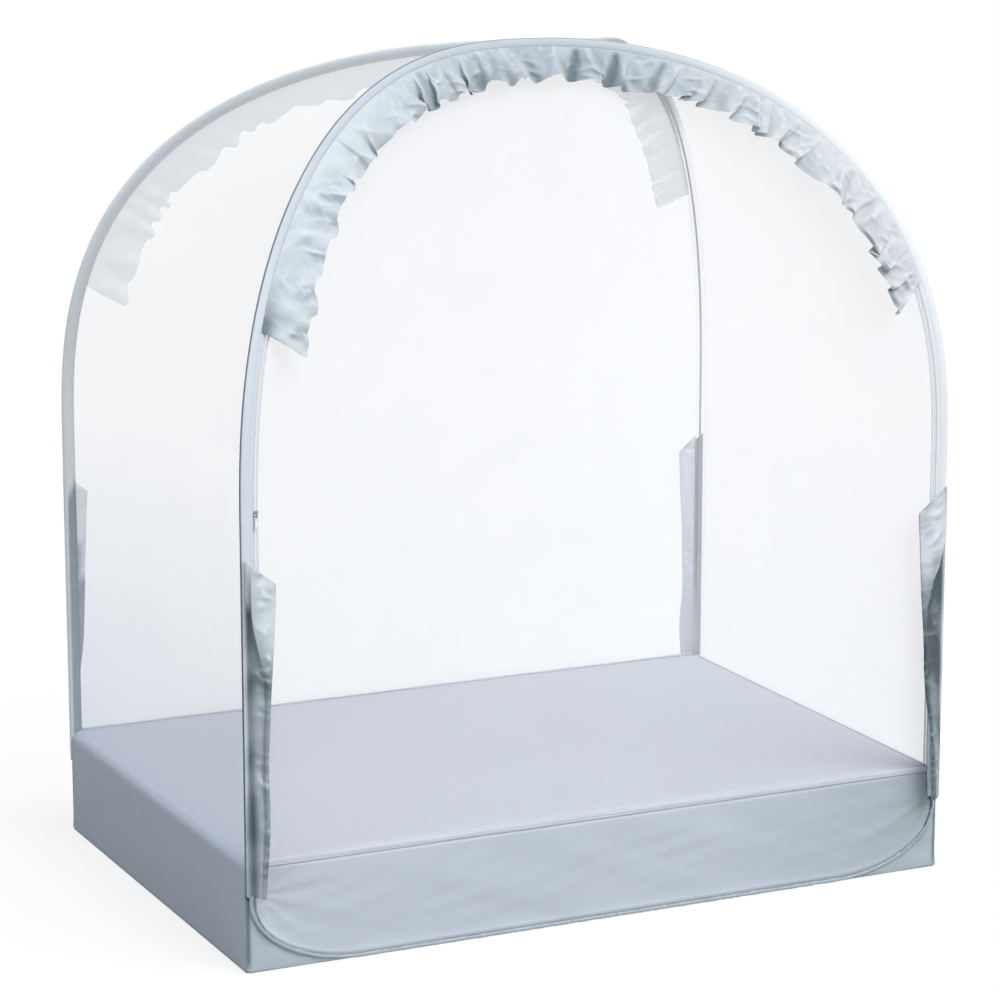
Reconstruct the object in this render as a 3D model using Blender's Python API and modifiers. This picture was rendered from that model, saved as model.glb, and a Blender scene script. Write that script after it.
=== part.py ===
"""Mosquito net tent that stands on its own over a mattress.

Two closed loops of spring wire run in cloth sleeves, one at the front and one at the back.
Their tops lean together and meet over the bed. Nets close the front, the back and the sides,
a fitted cloth base holds the mattress, and a zip with one slider closes the front net.
X runs along the front, -Y is the front, +Z is up, and the floor is at zero.
"""
import math

import bmesh
import bpy
from mathutils import Matrix, Vector

# Overall size
BED_LENGTH = 1.50
BED_DEPTH = 1.00
TENT_HEIGHT = 1.67
BASE_HEIGHT = 0.215

# Cloth, seams and the gap that sewn neighbours keep
SEAM_GAP = 0.0003
SLEEVE_CLOTH = 0.0012
SKIRT_CLOTH = 0.002
NET_CLOTH = 0.001
SIDE_NET_GAP = 0.0006
FLAP_CLOTH = 0.0012
VALANCE_CLOTH = 0.0012
FLOOR_CLOTH = 0.002

# Spring wire loops and the ferrule that closes each
WIRE_RADIUS = 0.00225
FERRULE_WALL = 0.0009
FERRULE_LENGTH = 0.04
FERRULE_SIDES = 16

# Flat sleeve over the arch, and the round piping round the base
SLEEVE_WIDTH = 0.026
SLEEVE_DEPTH = 0.009
SLEEVE_FOOT = 0.15
LEG_STATIONS = 2
SLEEVE_JOIN_STATION = 1
PIPING_WALL = 0.0013
PIPING_BORE_RADIUS = WIRE_RADIUS + SEAM_GAP + FERRULE_WALL + SEAM_GAP
ROUND_RESOLUTION = 2
PIPING_SIDES = 4 + 2 * ROUND_RESOLUTION
PIPING_RADIUS = (PIPING_BORE_RADIUS + PIPING_WALL) / math.cos(math.pi / PIPING_SIDES)
CORNER_RISE = 0.135
CORNER_RUN = 0.22
CORNER_STEPS = 8

# Shape of the arches: upright legs, then a squarish curve whose top leans in over the bed
ARCH_START = 0.86
ARCH_POWER = 2.45
ARCH_STATIONS = 44
LEAN_ACROSS_POWER = 1.6
LEAN_RISE_POWER = 1.1
CROWN_Y = -0.10
CROWN_SPACING = 0.022
HOOP_PLANE = BED_DEPTH / 2 - SLEEVE_DEPTH / 2
ARCH_HALF_WIDTH = BED_LENGTH / 2 - SLEEVE_WIDTH / 2
CROWN_Z = TENT_HEIGHT - SLEEVE_WIDTH / 2

# Base: skirts, corner gussets, seam tapes and floor
TAPE_HEIGHT = 0.012
TAPE_CLOTH = 0.003
GUSSET_RECESS = (SLEEVE_DEPTH - SKIRT_CLOTH) / 2
NET_FOOT = BASE_HEIGHT + SEAM_GAP
TAPE_FOOT = BASE_HEIGHT - TAPE_HEIGHT
SKIRT_TOP = TAPE_FOOT - SEAM_GAP
SIDE_SKIRT_INSET = 0.001
SIDE_PLANE = BED_LENGTH / 2 - SIDE_SKIRT_INSET - SKIRT_CLOTH / 2

# Mattress
MATTRESS_CLEARANCE = 0.0007
MATTRESS_ROUNDING = 0.028
MATTRESS_CROWN = 0.006
MATTRESS_EDGE_DROP = 0.004
MATTRESS_WAIST = 0.004

# Zip round the front arch, slider and pulls
ZIP_TAPE_WIDTH = 0.002
ZIP_TAPE_CLOTH = 0.001
COIL_WIDTH = 0.0022
COIL_DEPTH = 0.0026
ZIP_SLOT = 0.0018
SLIDER_Z = 0.87
SLIDER_LENGTH = 0.013
SLIDER_PLATE = 0.001
SLIDER_RUNNING_GAP = 0.0005
SLIDER_FLANGE = 0.0008
SLIDER_WEB = 0.0008
SLIDER_WEB_LENGTH = 0.006
BRIDGE_WIDTH = 0.002
BRIDGE_THICKNESS = 0.0008
BRIDGE_HALF_LENGTH = 0.0042
PIN_RADIUS = 0.0007
PIN_GAP = 0.0004
PIN_SIDES = 16
PULL_WIDTH = 0.007
PULL_LENGTH = 0.028
PULL_ARM = 0.0014
PULL_THICKNESS = 0.001
PULL_EYE_LENGTH = 0.0052

# Ruffled valances along the arches
VALANCE_FOLDS = 26
VALANCE_STEPS_PER_FOLD = 4
VALANCE_LAP = 0.006
VALANCE_SEAT = 0.0009
VALANCE_END_DEPTH = 0.092
VALANCE_TOP_DEPTH = 0.058
VALANCE_START_Z = 1.17
VALANCE_STANDOFF = 0.012
VALANCE_WAVE = 0.0075
VALANCE_HEM_STEP = 0.006
VALANCE_DEPTH_SHARES = (0.0, 0.35, 0.7, 1.0)

# Corner flaps: a strip sewn down each post, folded back on itself along a slanting edge
FLAP_FOOT = 0.155
FLAP_TOP = 0.79
FLAP_SLANT = 0.045
FLAP_TOP_WIDTH = 0.068
FLAP_FOOT_WIDTH = 0.031
FLAP_SEAM = 0.007
FLAP_LIFT = 0.0070
FLAP_FLARE = 0.026
FLAP_FOLD_RADIUS = 0.003
FLAP_HEM = 0.010
FLAP_BULGE = 0.007
FLAP_ROW_SHARES = (0.0, 0.16, 0.26, 0.36, 0.46, 0.58, 0.71, 0.85, 0.93, 1.0)
FLAP_FLARE_LOW_SHARE = 0.16
FLAP_FLARE_HIGH_SHARE = 0.46
FLAP_CREASE_LOW_SHARE = 0.58
FLAP_CREASE_HIGH_SHARE = 0.85

# How finely the nets are divided
PANEL_ROWS = 5
SIDE_NET_ROWS = 4
CURVE_SAMPLES = 600

FRONT = -1
BACK = 1
LEFT = -1
RIGHT = 1

FINISHES = {
    "sleeve_cloth": ((0.56, 0.64, 0.69), 0.85, 0.0),
    "skirt_cloth": ((0.48, 0.54, 0.60), 0.85, 0.0),
    "mattress_cloth": ((0.60, 0.64, 0.72), 0.85, 0.0),
    "netting": ((0.91, 0.92, 0.95), 0.80, 0.0),
    "spring_steel": ((0.45, 0.46, 0.48), 0.35, 1.0),
    "zip_nylon": ((0.62, 0.68, 0.72), 0.60, 0.0),
    "zip_metal": ((0.70, 0.72, 0.74), 0.30, 1.0),
}


def clear_scene():
    """Remove every object that is in the file already."""
    for item in list(bpy.data.objects):
        bpy.data.objects.remove(item, do_unlink=True)


def collection(name):
    """Return a new collection of this name, linked to the scene."""
    made = bpy.data.collections.new(name)
    bpy.context.scene.collection.children.link(made)
    return made


def finish(name, finish_name):
    """Return a material of its own for one piece."""
    colour, roughness, metallic = FINISHES[finish_name]
    material = bpy.data.materials.new(name)
    material.use_nodes = True
    shader = material.node_tree.nodes["Principled BSDF"]
    shader.inputs["Base Color"].default_value = (*colour, 1.0)
    shader.inputs["Roughness"].default_value = roughness
    shader.inputs["Metallic"].default_value = metallic
    return material


def add_piece(name, data, finish_name):
    """Link an object for this mesh or curve, with its finish."""
    piece = bpy.data.objects.new(name, data)
    data.materials.append(finish(name, finish_name))
    PIECES.objects.link(piece)
    return piece


def smooth(mesh, angle=math.radians(40)):
    """Shade a mesh smooth, with sharp edges past the angle."""
    mesh.shade_smooth()
    mesh.set_sharp_from_angle(angle=angle)


def mesh_from(builder, name):
    """Write a bmesh to a new mesh and free it."""
    mesh = bpy.data.meshes.new(name)
    builder.to_mesh(mesh)
    builder.free()
    smooth(mesh)
    return mesh


def sheet(name, rows, thickness, finish_name):
    """A cloth sheet: a flat grid drawn out to rows of points, thickened evenly both ways."""
    across = len(rows[0]) - 1
    down = len(rows) - 1
    builder = bmesh.new()
    bmesh.ops.create_grid(builder, x_segments=across, y_segments=down, size=1.0)
    for vert in builder.verts:
        column = round((vert.co.x + 1) / 2 * across)
        row = round((vert.co.y + 1) / 2 * down)
        vert.co = rows[row][column]
    piece = add_piece(name, mesh_from(builder, name), finish_name)
    add_wall(piece, thickness, 0.0)
    return piece


def loft(rings):
    """Skin rings of points into one open-ended surface; the rings are returned too."""
    builder = bmesh.new()
    lines = [[builder.verts.new(point) for point in ring] for ring in rings]
    for low, high in zip(lines, lines[1:]):
        for index in range(len(low)):
            following = (index + 1) % len(low)
            builder.faces.new((low[index], low[following], high[following], high[index]))
    return builder, lines


def add_wall(piece, thickness, offset):
    """Give an open surface its wall."""
    wall = piece.modifiers.new("wall", "SOLIDIFY")
    wall.thickness = thickness
    wall.offset = offset
    wall.use_even_offset = True
    return wall


def tube(name, rings, wall, finish_name):
    """An open-ended tube through rings of points, its wall growing inwards."""
    builder, lines = loft(rings)
    centre = sum((vert.co for vert in lines[0]), Vector()) / len(lines[0])
    builder.faces.ensure_lookup_table()
    builder.normal_update()
    first = builder.faces[0]
    if first.normal.dot(first.calc_center_median() - centre) < 0:
        bmesh.ops.reverse_faces(builder, faces=builder.faces)
    piece = add_piece(name, mesh_from(builder, name), finish_name)
    add_wall(piece, wall, -1.0)
    return piece


def capped(name, rings, finish_name):
    """A solid through rings of points, closed at both ends."""
    builder, lines = loft(rings)
    builder.faces.new(lines[0])
    builder.faces.new(list(reversed(lines[-1])))
    bmesh.ops.recalc_face_normals(builder, faces=builder.faces)
    return add_piece(name, mesh_from(builder, name), finish_name)


def box(name, low, high, finish_name):
    """A plain box between two corners."""
    builder = bmesh.new()
    bmesh.ops.create_cube(builder, size=1.0)
    low = Vector(low)
    high = Vector(high)
    bmesh.ops.scale(builder, vec=high - low, verts=builder.verts)
    bmesh.ops.translate(builder, vec=(low + high) / 2, verts=builder.verts)
    return add_piece(name, mesh_from(builder, name), finish_name)


def cut_from_cloth(name, outline, thickness, plane_y, finish_name):
    """A flat piece of cloth with this outline in X and Z, standing in the plane Y."""
    data = bpy.data.curves.new(name, "CURVE")
    data.dimensions = "2D"
    data.fill_mode = "BOTH"
    data.extrude = thickness / 2
    spline = data.splines.new("POLY")
    spline.points.add(len(outline) - 1)
    for point, (x, z) in zip(spline.points, outline):
        point.co = (x, z, 0.0, 1.0)
    spline.use_cyclic_u = True
    piece = add_piece(name, data, finish_name)
    piece.matrix_world = Matrix.Translation((0, plane_y, 0)) @ Matrix.Rotation(math.pi / 2, 4, "X")
    return piece


def signed_power(value, power):
    """Raise the size of a value to a power and keep its sign."""
    return math.copysign(abs(value) ** power, value)


class Hoop:
    """One spring loop: its arch over the bed and its run round the base."""

    def __init__(self, side):
        self.side = side
        crown_y = CROWN_Y + side * CROWN_SPACING / 2
        self.lean = HOOP_PLANE - side * crown_y
        angles = [math.pi * (1 - step / CURVE_SAMPLES) for step in range(CURVE_SAMPLES + 1)]
        self.curve = [self.arch_point(angle) for angle in angles]
        self.lengths = [0.0]
        for start, end in zip(self.curve, self.curve[1:]):
            self.lengths.append(self.lengths[-1] + (end - start).length)
        self.frames = [self.true_station(step / ARCH_STATIONS) for step in range(ARCH_STATIONS + 1)]

    def arch_point(self, angle):
        """A point of the arch's centre line, by the angle of its squarish ellipse."""
        x = ARCH_HALF_WIDTH * signed_power(math.cos(angle), 2 / ARCH_POWER)
        z = ARCH_START + (CROWN_Z - ARCH_START) * abs(math.sin(angle)) ** (2 / ARCH_POWER)
        inward = max(0.0, 1 - (abs(x) / ARCH_HALF_WIDTH) ** LEAN_ACROSS_POWER) ** LEAN_RISE_POWER
        return Vector((x, self.side * (HOOP_PLANE - self.lean * inward), z))

    def at_share(self, share):
        """The arch's point at this share of its length, from left to right."""
        wanted = share * self.lengths[-1]
        low = 0
        high = len(self.lengths) - 1
        while high - low > 1:
            middle = (low + high) // 2
            if self.lengths[middle] <= wanted:
                low = middle
            else:
                high = middle
        part = (wanted - self.lengths[low]) / (self.lengths[high] - self.lengths[low])
        return self.curve[low].lerp(self.curve[high], part)

    def share_at_height(self, height):
        """The share of the length at which the arch first reaches this height."""
        for point, length in zip(self.curve, self.lengths):
            if point.z >= height:
                return length / self.lengths[-1]
        return 0.5

    def station(self, share):
        """The station at a share of the arch, on the straight between its neighbours."""
        place = share * ARCH_STATIONS
        low = min(int(place), ARCH_STATIONS - 1)
        pairs = zip(self.frames[low], self.frames[low + 1])
        return tuple(start.lerp(end, place - low) for start, end in pairs)

    def true_station(self, share):
        """Centre, outward direction in the band's plane, and facing direction, on the arch."""
        span = 0.5 / ARCH_STATIONS
        before = self.at_share(max(0.0, share - span))
        after = self.at_share(min(1.0, share + span))
        if share <= 0 or share >= 1:
            along = Vector((0, 0, 1 if share <= 0 else -1))
        else:
            along = (after - before).normalized()
        centre = self.at_share(share)
        tilt = math.atan2(abs(centre.y - self.side * HOOP_PLANE), centre.z - NET_FOOT)
        facing = Vector((0, self.side * math.cos(tilt), math.sin(tilt)))
        facing = (facing - along * facing.dot(along)).normalized()
        across = facing.cross(along) * -self.side
        return centre, across, facing

    def leg_station(self, hand, height):
        """The same three for an upright leg."""
        centre = Vector((hand * ARCH_HALF_WIDTH, self.side * HOOP_PLANE, height))
        return centre, Vector((hand, 0, 0)), Vector((0, self.side, 0))

    def arch_stations(self):
        """Stations along the arch alone, from left to right."""
        return list(self.frames)

    def band_stations(self, foot):
        """Stations up the left leg from this height, over the arch and down the right leg."""
        heights = [foot, (foot + ARCH_START) / 2]
        left = [self.leg_station(LEFT, height) for height in heights]
        right = [self.leg_station(RIGHT, height) for height in reversed(heights)]
        return left + self.arch_stations() + right

    def sleeve_lengths(self):
        """Stations of the sleeve's three lengths, which are sewn end to end: leg, arch and leg."""
        join = SLEEVE_JOIN_STATION / ARCH_STATIONS
        gap = SEAM_GAP / self.lengths[-1]
        stations = self.band_stations(SLEEVE_FOOT)
        leg = LEG_STATIONS + SLEEVE_JOIN_STATION + 1
        arch = [self.station(join + gap)] + stations[leg:-leg] + [self.station(1 - join - gap)]
        return stations[:leg], arch, stations[-leg:]

    def base_run(self, reach=0.0):
        """Points in X and Z round the base, from the left leg down and across to the right leg.

        Reach moves them outwards from the loop, or inwards where it is negative.
        """
        points = []
        for step in range(CORNER_STEPS + 1):
            angle = math.pi / 2 * step / CORNER_STEPS
            x = -ARCH_HALF_WIDTH + CORNER_RUN * (1 - math.cos(angle))
            z = PIPING_RADIUS + CORNER_RISE * (1 - math.sin(angle))
            normal = Vector((-math.cos(angle) * CORNER_RISE, -math.sin(angle) * CORNER_RUN)).normalized()
            points.append((x + normal.x * reach, z + normal.y * reach))
        mirrored = [(-x, z) for x, z in reversed(points)]
        return points + mirrored

    def inner_edge(self, reach):
        """The arch's stations moved inwards in the band's plane by a reach."""
        return [centre - across * reach for centre, across, _ in self.arch_stations()]


def section_ring(station, outline):
    """Place an outline of (across, facing) pairs at a station."""
    centre, across, facing = station
    return [centre + across * wide + facing * deep for wide, deep in outline]


def flat_tube_outline(width, depth):
    """Outline of a flattened tube: flat faces and rounded edges."""
    half = width / 2
    deep = depth / 2
    edge = half - deep * 0.6
    return [
        (half, 0.0), (edge, deep), (0.0, deep), (-edge, deep),
        (-half, 0.0), (-edge, -deep), (0.0, -deep), (edge, -deep),
    ]


def round_section(name, path, radius, cyclic, finish_name):
    """A curve along a path with a round section, open at its ends unless it is a closed loop."""
    data = bpy.data.curves.new(name, "CURVE")
    data.dimensions = "3D"
    data.bevel_depth = radius
    data.bevel_resolution = ROUND_RESOLUTION
    spline = data.splines.new("POLY")
    spline.points.add(len(path) - 1)
    for point, place in zip(spline.points, path):
        point.co = (*place, 1.0)
    spline.use_cyclic_u = cyclic
    return add_piece(name, data, finish_name)


def base_path(hoop):
    """The loop's centre line round the base, from the left leg to the right."""
    return [Vector((x, hoop.side * HOOP_PLANE, z)) for x, z in hoop.base_run()]


def make_wire(hoop, name):
    """The closed loop of spring wire, all the way round."""
    over = [centre for centre, _, _ in hoop.band_stations(SLEEVE_FOOT)]
    round_section(name, over + list(reversed(base_path(hoop))), WIRE_RADIUS, True, "spring_steel")


def make_hoop(hoop, word):
    """Wire, ferrule, sleeve and piping of one loop."""
    make_wire(hoop, f"{word}_hoop_wire")
    outline = flat_tube_outline(SLEEVE_WIDTH, SLEEVE_DEPTH)
    for name, stations in zip(("left_leg_sleeve", "sleeve", "right_leg_sleeve"), hoop.sleeve_lengths()):
        rings = [section_ring(station, outline) for station in stations]
        tube(f"{word}_{name}", rings, SLEEVE_CLOTH, "sleeve_cloth")
    ends = [hoop.leg_station(hand, SLEEVE_FOOT - SEAM_GAP)[0] for hand in (LEFT, RIGHT)]
    path = [ends[0]] + base_path(hoop) + [ends[1]]
    piping = round_section(f"{word}_base_piping", path, PIPING_RADIUS, False, "sleeve_cloth")
    add_wall(piping, PIPING_WALL, -1.0)
    make_ferrule(hoop, f"{word}_wire_ferrule")


def make_ferrule(hoop, name):
    """The crimped tube that joins the wire's two ends, at the middle of the base."""
    radius = WIRE_RADIUS + SEAM_GAP + FERRULE_WALL
    turn = Matrix.Rotation(math.pi / 2, 4, "Y")
    builder = bmesh.new()
    bmesh.ops.create_cone(
        builder, cap_ends=False, segments=FERRULE_SIDES, radius1=radius, radius2=radius,
        depth=FERRULE_LENGTH, matrix=turn,
    )
    piece = add_piece(name, mesh_from(builder, name), "spring_steel")
    piece.location = (0, hoop.side * HOOP_PLANE, PIPING_RADIUS)
    add_wall(piece, FERRULE_WALL, -1.0)


def panel_rows(hoop, reach):
    """Rows of points of an end net, from the base tape up to the arch."""
    top = hoop.inner_edge(reach)
    foot_y = hoop.side * HOOP_PLANE
    rows = []
    for row in range(PANEL_ROWS + 1):
        share = row / PANEL_ROWS
        rows.append([Vector((point.x, foot_y, NET_FOOT)).lerp(point, share) for point in top])
    return rows


def make_end_nets(front, back):
    """The nets that close the front and the back."""
    front_reach = SLEEVE_WIDTH / 2 + SEAM_GAP + zip_width() + SEAM_GAP
    back_reach = SLEEVE_WIDTH / 2 + SEAM_GAP
    sheet("front_net", panel_rows(front, front_reach), NET_CLOTH, "netting")
    sheet("back_net", panel_rows(back, back_reach), NET_CLOTH, "netting")


def make_side_nets(front, back):
    """The nets from the front arch to the back arch, left and right, up to the crown."""
    lift = SLEEVE_WIDTH / 2 - SLEEVE_WIDTH / 6
    inward = SLEEVE_DEPTH / 2 + SIDE_NET_GAP
    half = ARCH_STATIONS // 2
    for hand, word in ((LEFT, "left"), (RIGHT, "right")):
        edges = []
        for hoop in (front, back):
            stations = [hoop.leg_station(hand, NET_FOOT)]
            stations.append(hoop.leg_station(hand, (NET_FOOT + ARCH_START) / 2))
            over = hoop.arch_stations()
            stations += over[:half + 1] if hand == LEFT else list(reversed(over[half:]))
            edge = [centre + across * lift - facing * inward for centre, across, facing in stations]
            edge[-1] = edge[-1] + Vector((hand * SEAM_GAP / 2, 0, 0))
            edges.append(edge)
        rows = []
        for row in range(SIDE_NET_ROWS + 1):
            share = row / SIDE_NET_ROWS
            rows.append([start.lerp(end, share) for start, end in zip(*edges)])
        sheet(f"{word}_side_net", rows, NET_CLOTH, "netting")


def zip_width():
    """Width of both zip tapes with their coils and the slot between them."""
    return 2 * (ZIP_TAPE_WIDTH + COIL_WIDTH) + ZIP_SLOT


def make_zip(hoop):
    """The two halves of the closed zip, along the sleeve's inner edge."""
    slim = ZIP_TAPE_CLOTH / 2
    thick = COIL_DEPTH / 2
    whole = ZIP_TAPE_WIDTH + COIL_WIDTH
    near = -SLEEVE_WIDTH / 2 - SEAM_GAP
    far = near - zip_width()
    for name, start, way in (("zip_half_on_sleeve", near, -1), ("zip_half_on_net", far, 1)):
        bend = start + way * ZIP_TAPE_WIDTH
        end = start + way * whole
        outline = [
            (start, slim), (bend, slim), (bend, thick), (end, thick),
            (end, -thick), (bend, -thick), (bend, -slim), (start, -slim),
        ]
        rings = [section_ring(station, outline) for station in hoop.band_stations(NET_FOOT)]
        capped(name, rings, "zip_nylon")


def slider_centre():
    """Middle of the slider, in the slot of the zip on the left leg."""
    inset = SLEEVE_WIDTH / 2 + SEAM_GAP + zip_width() / 2
    return Vector((-ARCH_HALF_WIDTH + inset, FRONT * HOOP_PLANE, SLIDER_Z))


def join_boxes(name, boxes, finish_name, origin, first=None):
    """One body from boxes that overlap, joined by a union, onto a first mesh where one is given."""
    made = [first] if first else []
    for low, high in boxes:
        builder = bmesh.new()
        bmesh.ops.create_cube(builder, size=1.0)
        low = Vector(low)
        high = Vector(high)
        bmesh.ops.scale(builder, vec=high - low, verts=builder.verts)
        bmesh.ops.translate(builder, vec=(low + high) / 2, verts=builder.verts)
        made.append(mesh_from(builder, name))
    piece = add_piece(name, made[0], finish_name)
    piece.location = origin
    for index, mesh in enumerate(made[1:]):
        tool = bpy.data.objects.new(f"{name}_tool_{index}", mesh)
        tool.location = origin
        tool.hide_render = True
        tool.display_type = "WIRE"
        CUTTERS.objects.link(tool)
        union = piece.modifiers.new("join", "BOOLEAN")
        union.operation = "UNION"
        union.solver = "EXACT"
        union.object = tool
    return piece


def slider_levels():
    """Depths from the zip's plane: inside of a plate, its outside, the pin and the bridge."""
    inside = COIL_DEPTH / 2 + SLIDER_RUNNING_GAP
    outside = inside + SLIDER_PLATE
    pin = outside + PIN_GAP + PIN_RADIUS
    bridge = pin + PIN_RADIUS + PIN_GAP
    return inside, outside, pin, bridge


def make_slider():
    """The slider: two plates on a web, side flanges, and a bridge on each face for a pull."""
    inside, outside, _, bridge = slider_levels()
    half_coil = COIL_WIDTH + ZIP_SLOT / 2
    reach = half_coil + SLIDER_RUNNING_GAP + SLIDER_FLANGE
    half = SLIDER_LENGTH / 2
    overlap = SLIDER_PLATE / 4
    lip = ZIP_TAPE_CLOTH / 2 + SLIDER_RUNNING_GAP
    web = SLIDER_WEB / 2
    web_half = SLIDER_WEB_LENGTH / 2
    boxes = [((-web, -inside - overlap, -web_half), (web, inside + overlap, web_half))]
    for way in (-1, 1):
        plate = sorted((way * inside, way * outside))
        boxes.append(((-reach, plate[0], -half), (reach, plate[1], half)))
        for hand in (-1, 1):
            wide = sorted((hand * reach, hand * (reach - SLIDER_FLANGE)))
            deep = sorted((way * lip, way * (inside + overlap)))
            boxes.append(((wide[0], deep[0], -half), (wide[1], deep[1], half)))
        slim = BRIDGE_WIDTH / 2
        over = sorted((way * bridge, way * (bridge + BRIDGE_THICKNESS)))
        boxes.append(((-slim, over[0], -BRIDGE_HALF_LENGTH), (slim, over[1], BRIDGE_HALF_LENGTH)))
        post = sorted((way * (outside - overlap), way * (bridge + BRIDGE_THICKNESS / 2)))
        for end in (-1, 1):
            tall = sorted((end * BRIDGE_HALF_LENGTH, end * (BRIDGE_HALF_LENGTH - BRIDGE_THICKNESS)))
            boxes.append(((-slim, post[0], tall[0]), (slim, post[1], tall[1])))
    return join_boxes("zip_slider", boxes, "zip_metal", slider_centre())


def make_pull(name, way):
    """A pull tab that hangs from a pin under the slider's bridge."""
    _, _, pin, _ = slider_levels()
    half = PULL_WIDTH / 2
    thin = PULL_THICKNESS / 2
    arm = half - PULL_ARM
    boxes = [
        ((-half, -thin, -PULL_EYE_LENGTH - PULL_ARM), (-arm, thin, PIN_RADIUS / 2)),
        ((arm, -thin, -PULL_EYE_LENGTH - PULL_ARM), (half, thin, PIN_RADIUS / 2)),
        ((-half, -thin, -PULL_LENGTH), (half, thin, -PULL_EYE_LENGTH)),
    ]
    builder = bmesh.new()
    bmesh.ops.create_cone(
        builder, cap_ends=True, segments=PIN_SIDES, radius1=PIN_RADIUS, radius2=PIN_RADIUS,
        depth=PULL_WIDTH, matrix=Matrix.Rotation(math.pi / 2, 4, "Y"),
    )
    origin = slider_centre() + Vector((0, way * pin, 0))
    return join_boxes(name, boxes, "zip_metal", origin, mesh_from(builder, name))


def valance_depth(share):
    """Depth of a valance at a share of its length, deeper at its ends."""
    return VALANCE_TOP_DEPTH + (VALANCE_END_DEPTH - VALANCE_TOP_DEPTH) * abs(2 * share - 1) ** 3


def make_valance(hoop, name):
    """The gathered strip sewn to the sleeve's face, hanging in over the net."""
    start = hoop.share_at_height(VALANCE_START_Z)
    columns = VALANCE_FOLDS * VALANCE_STEPS_PER_FOLD
    seam = SLEEVE_DEPTH / 2 + VALANCE_SEAT + VALANCE_CLOTH / 2
    rows = [[] for _ in VALANCE_DEPTH_SHARES]
    for column in range(columns + 1):
        share = column / columns
        centre, across, facing = hoop.station(start + (1 - 2 * start) * share)
        fold = column % VALANCE_STEPS_PER_FOLD
        wave = math.sin(2 * math.pi * fold / VALANCE_STEPS_PER_FOLD)
        drop = math.cos(2 * math.pi * fold / VALANCE_STEPS_PER_FOLD) * VALANCE_HEM_STEP / 2
        deep = valance_depth(share) + drop
        for row, down in zip(rows, VALANCE_DEPTH_SHARES):
            inward = SLEEVE_WIDTH / 2 - VALANCE_LAP + deep * down
            outward = seam + math.sin(down * math.pi / 2) * (VALANCE_STANDOFF + VALANCE_WAVE * wave)
            row.append(centre - across * inward + facing * outward)
    return sheet(name, rows, VALANCE_CLOTH, "sleeve_cloth")


def flap_width(share):
    """Width of a corner flap at a share of its height."""
    return FLAP_FOOT_WIDTH + (FLAP_TOP_WIDTH - FLAP_FOOT_WIDTH) * share


def flap_fold_end(share):
    """Distance from the post's edge at which the folded layer ends, along the slanting edge."""
    near = FLAP_SEAM * 2
    far = flap_width(share) - FLAP_HEM
    span = FLAP_CREASE_HIGH_SHARE - FLAP_CREASE_LOW_SHARE
    part = min(1.0, max(0.0, (share - FLAP_CREASE_LOW_SHARE) / span))
    return far + (near - far) * part


def flap_flare(share):
    """How far a flap stands out from the zip, more at its foot, where the hand goes in."""
    span = FLAP_FLARE_HIGH_SHARE - FLAP_FLARE_LOW_SHARE
    part = min(1.0, max(0.0, (FLAP_FLARE_HIGH_SHARE - share) / span))
    return FLAP_LIFT + FLAP_FLARE * part * part * (3 - 2 * part)


def flap_row(share):
    """Distance from the post's edge and depth from its face, across one row of a flap."""
    width = flap_width(share)
    seat = SEAM_GAP + FLAP_CLOTH / 2
    under = seat + flap_flare(share)
    radius = FLAP_FOLD_RADIUS
    over = under + 2 * radius
    end = flap_fold_end(share)
    bulge = FLAP_BULGE * math.sin(math.pi * share)
    turn = width - radius
    span = turn - end
    row = [(FLAP_CLOTH, seat), (FLAP_SEAM, seat), (FLAP_SEAM * 2, under), ((FLAP_SEAM * 2 + turn) / 2, under)]
    row += [(turn, under), (width, under + radius), (turn, over)]
    row += [(turn - span / 2, over + bulge * min(1.0, span / FLAP_TOP_WIDTH * 2)), (end, over)]
    return row


def make_flap(side, hand, name):
    """One corner flap."""
    rows = []
    for share in FLAP_ROW_SHARES:
        row = []
        for wide, deep in flap_row(share):
            top = FLAP_TOP - FLAP_SLANT * wide / FLAP_TOP_WIDTH
            x = hand * (BED_LENGTH / 2 - wide)
            y = side * (HOOP_PLANE + SLEEVE_DEPTH / 2 + deep)
            row.append(Vector((x, y, FLAP_FOOT + share * (top - FLAP_FOOT))))
        rows.append(row)
    return sheet(name, rows, FLAP_CLOTH, "sleeve_cloth")


def make_end_base(hoop, word):
    """Skirt, two corner gussets and seam tape of one long side."""
    plane = hoop.side * HOOP_PLANE
    edge = ARCH_HALF_WIDTH - SLEEVE_WIDTH / 2 - SEAM_GAP
    reach = PIPING_RADIUS + SEAM_GAP
    run = hoop.base_run(-reach)
    foot = SLEEVE_FOOT - SEAM_GAP
    outline = [(-edge, SKIRT_TOP), (-edge, foot)] + run + [(edge, foot), (edge, SKIRT_TOP)]
    cut_from_cloth(f"{word}_skirt", outline, SKIRT_CLOTH, plane, "skirt_cloth")
    corner = BED_LENGTH / 2 - SIDE_SKIRT_INSET
    outer = [point for point in hoop.base_run(reach)[:CORNER_STEPS + 1] if point[1] > SKIRT_CLOTH]
    last_x = outer[-1][0]
    outline = [(-corner, 0.0), (-corner, foot), (outer[0][0], foot)] + outer + [(last_x, 0.0)]
    recessed = hoop.side * (HOOP_PLANE - GUSSET_RECESS)
    for hand, side_word in ((LEFT, "left"), (RIGHT, "right")):
        turned = [(-hand * x, z) for x, z in outline]
        cut_from_cloth(f"{word}_{side_word}_gusset", turned, SKIRT_CLOTH, recessed, "skirt_cloth")
    half = TAPE_CLOTH / 2
    low = (-edge, plane - half, TAPE_FOOT)
    high = (edge, plane + half, BASE_HEIGHT)
    box(f"{word}_seam_tape", low, high, "sleeve_cloth")


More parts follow.
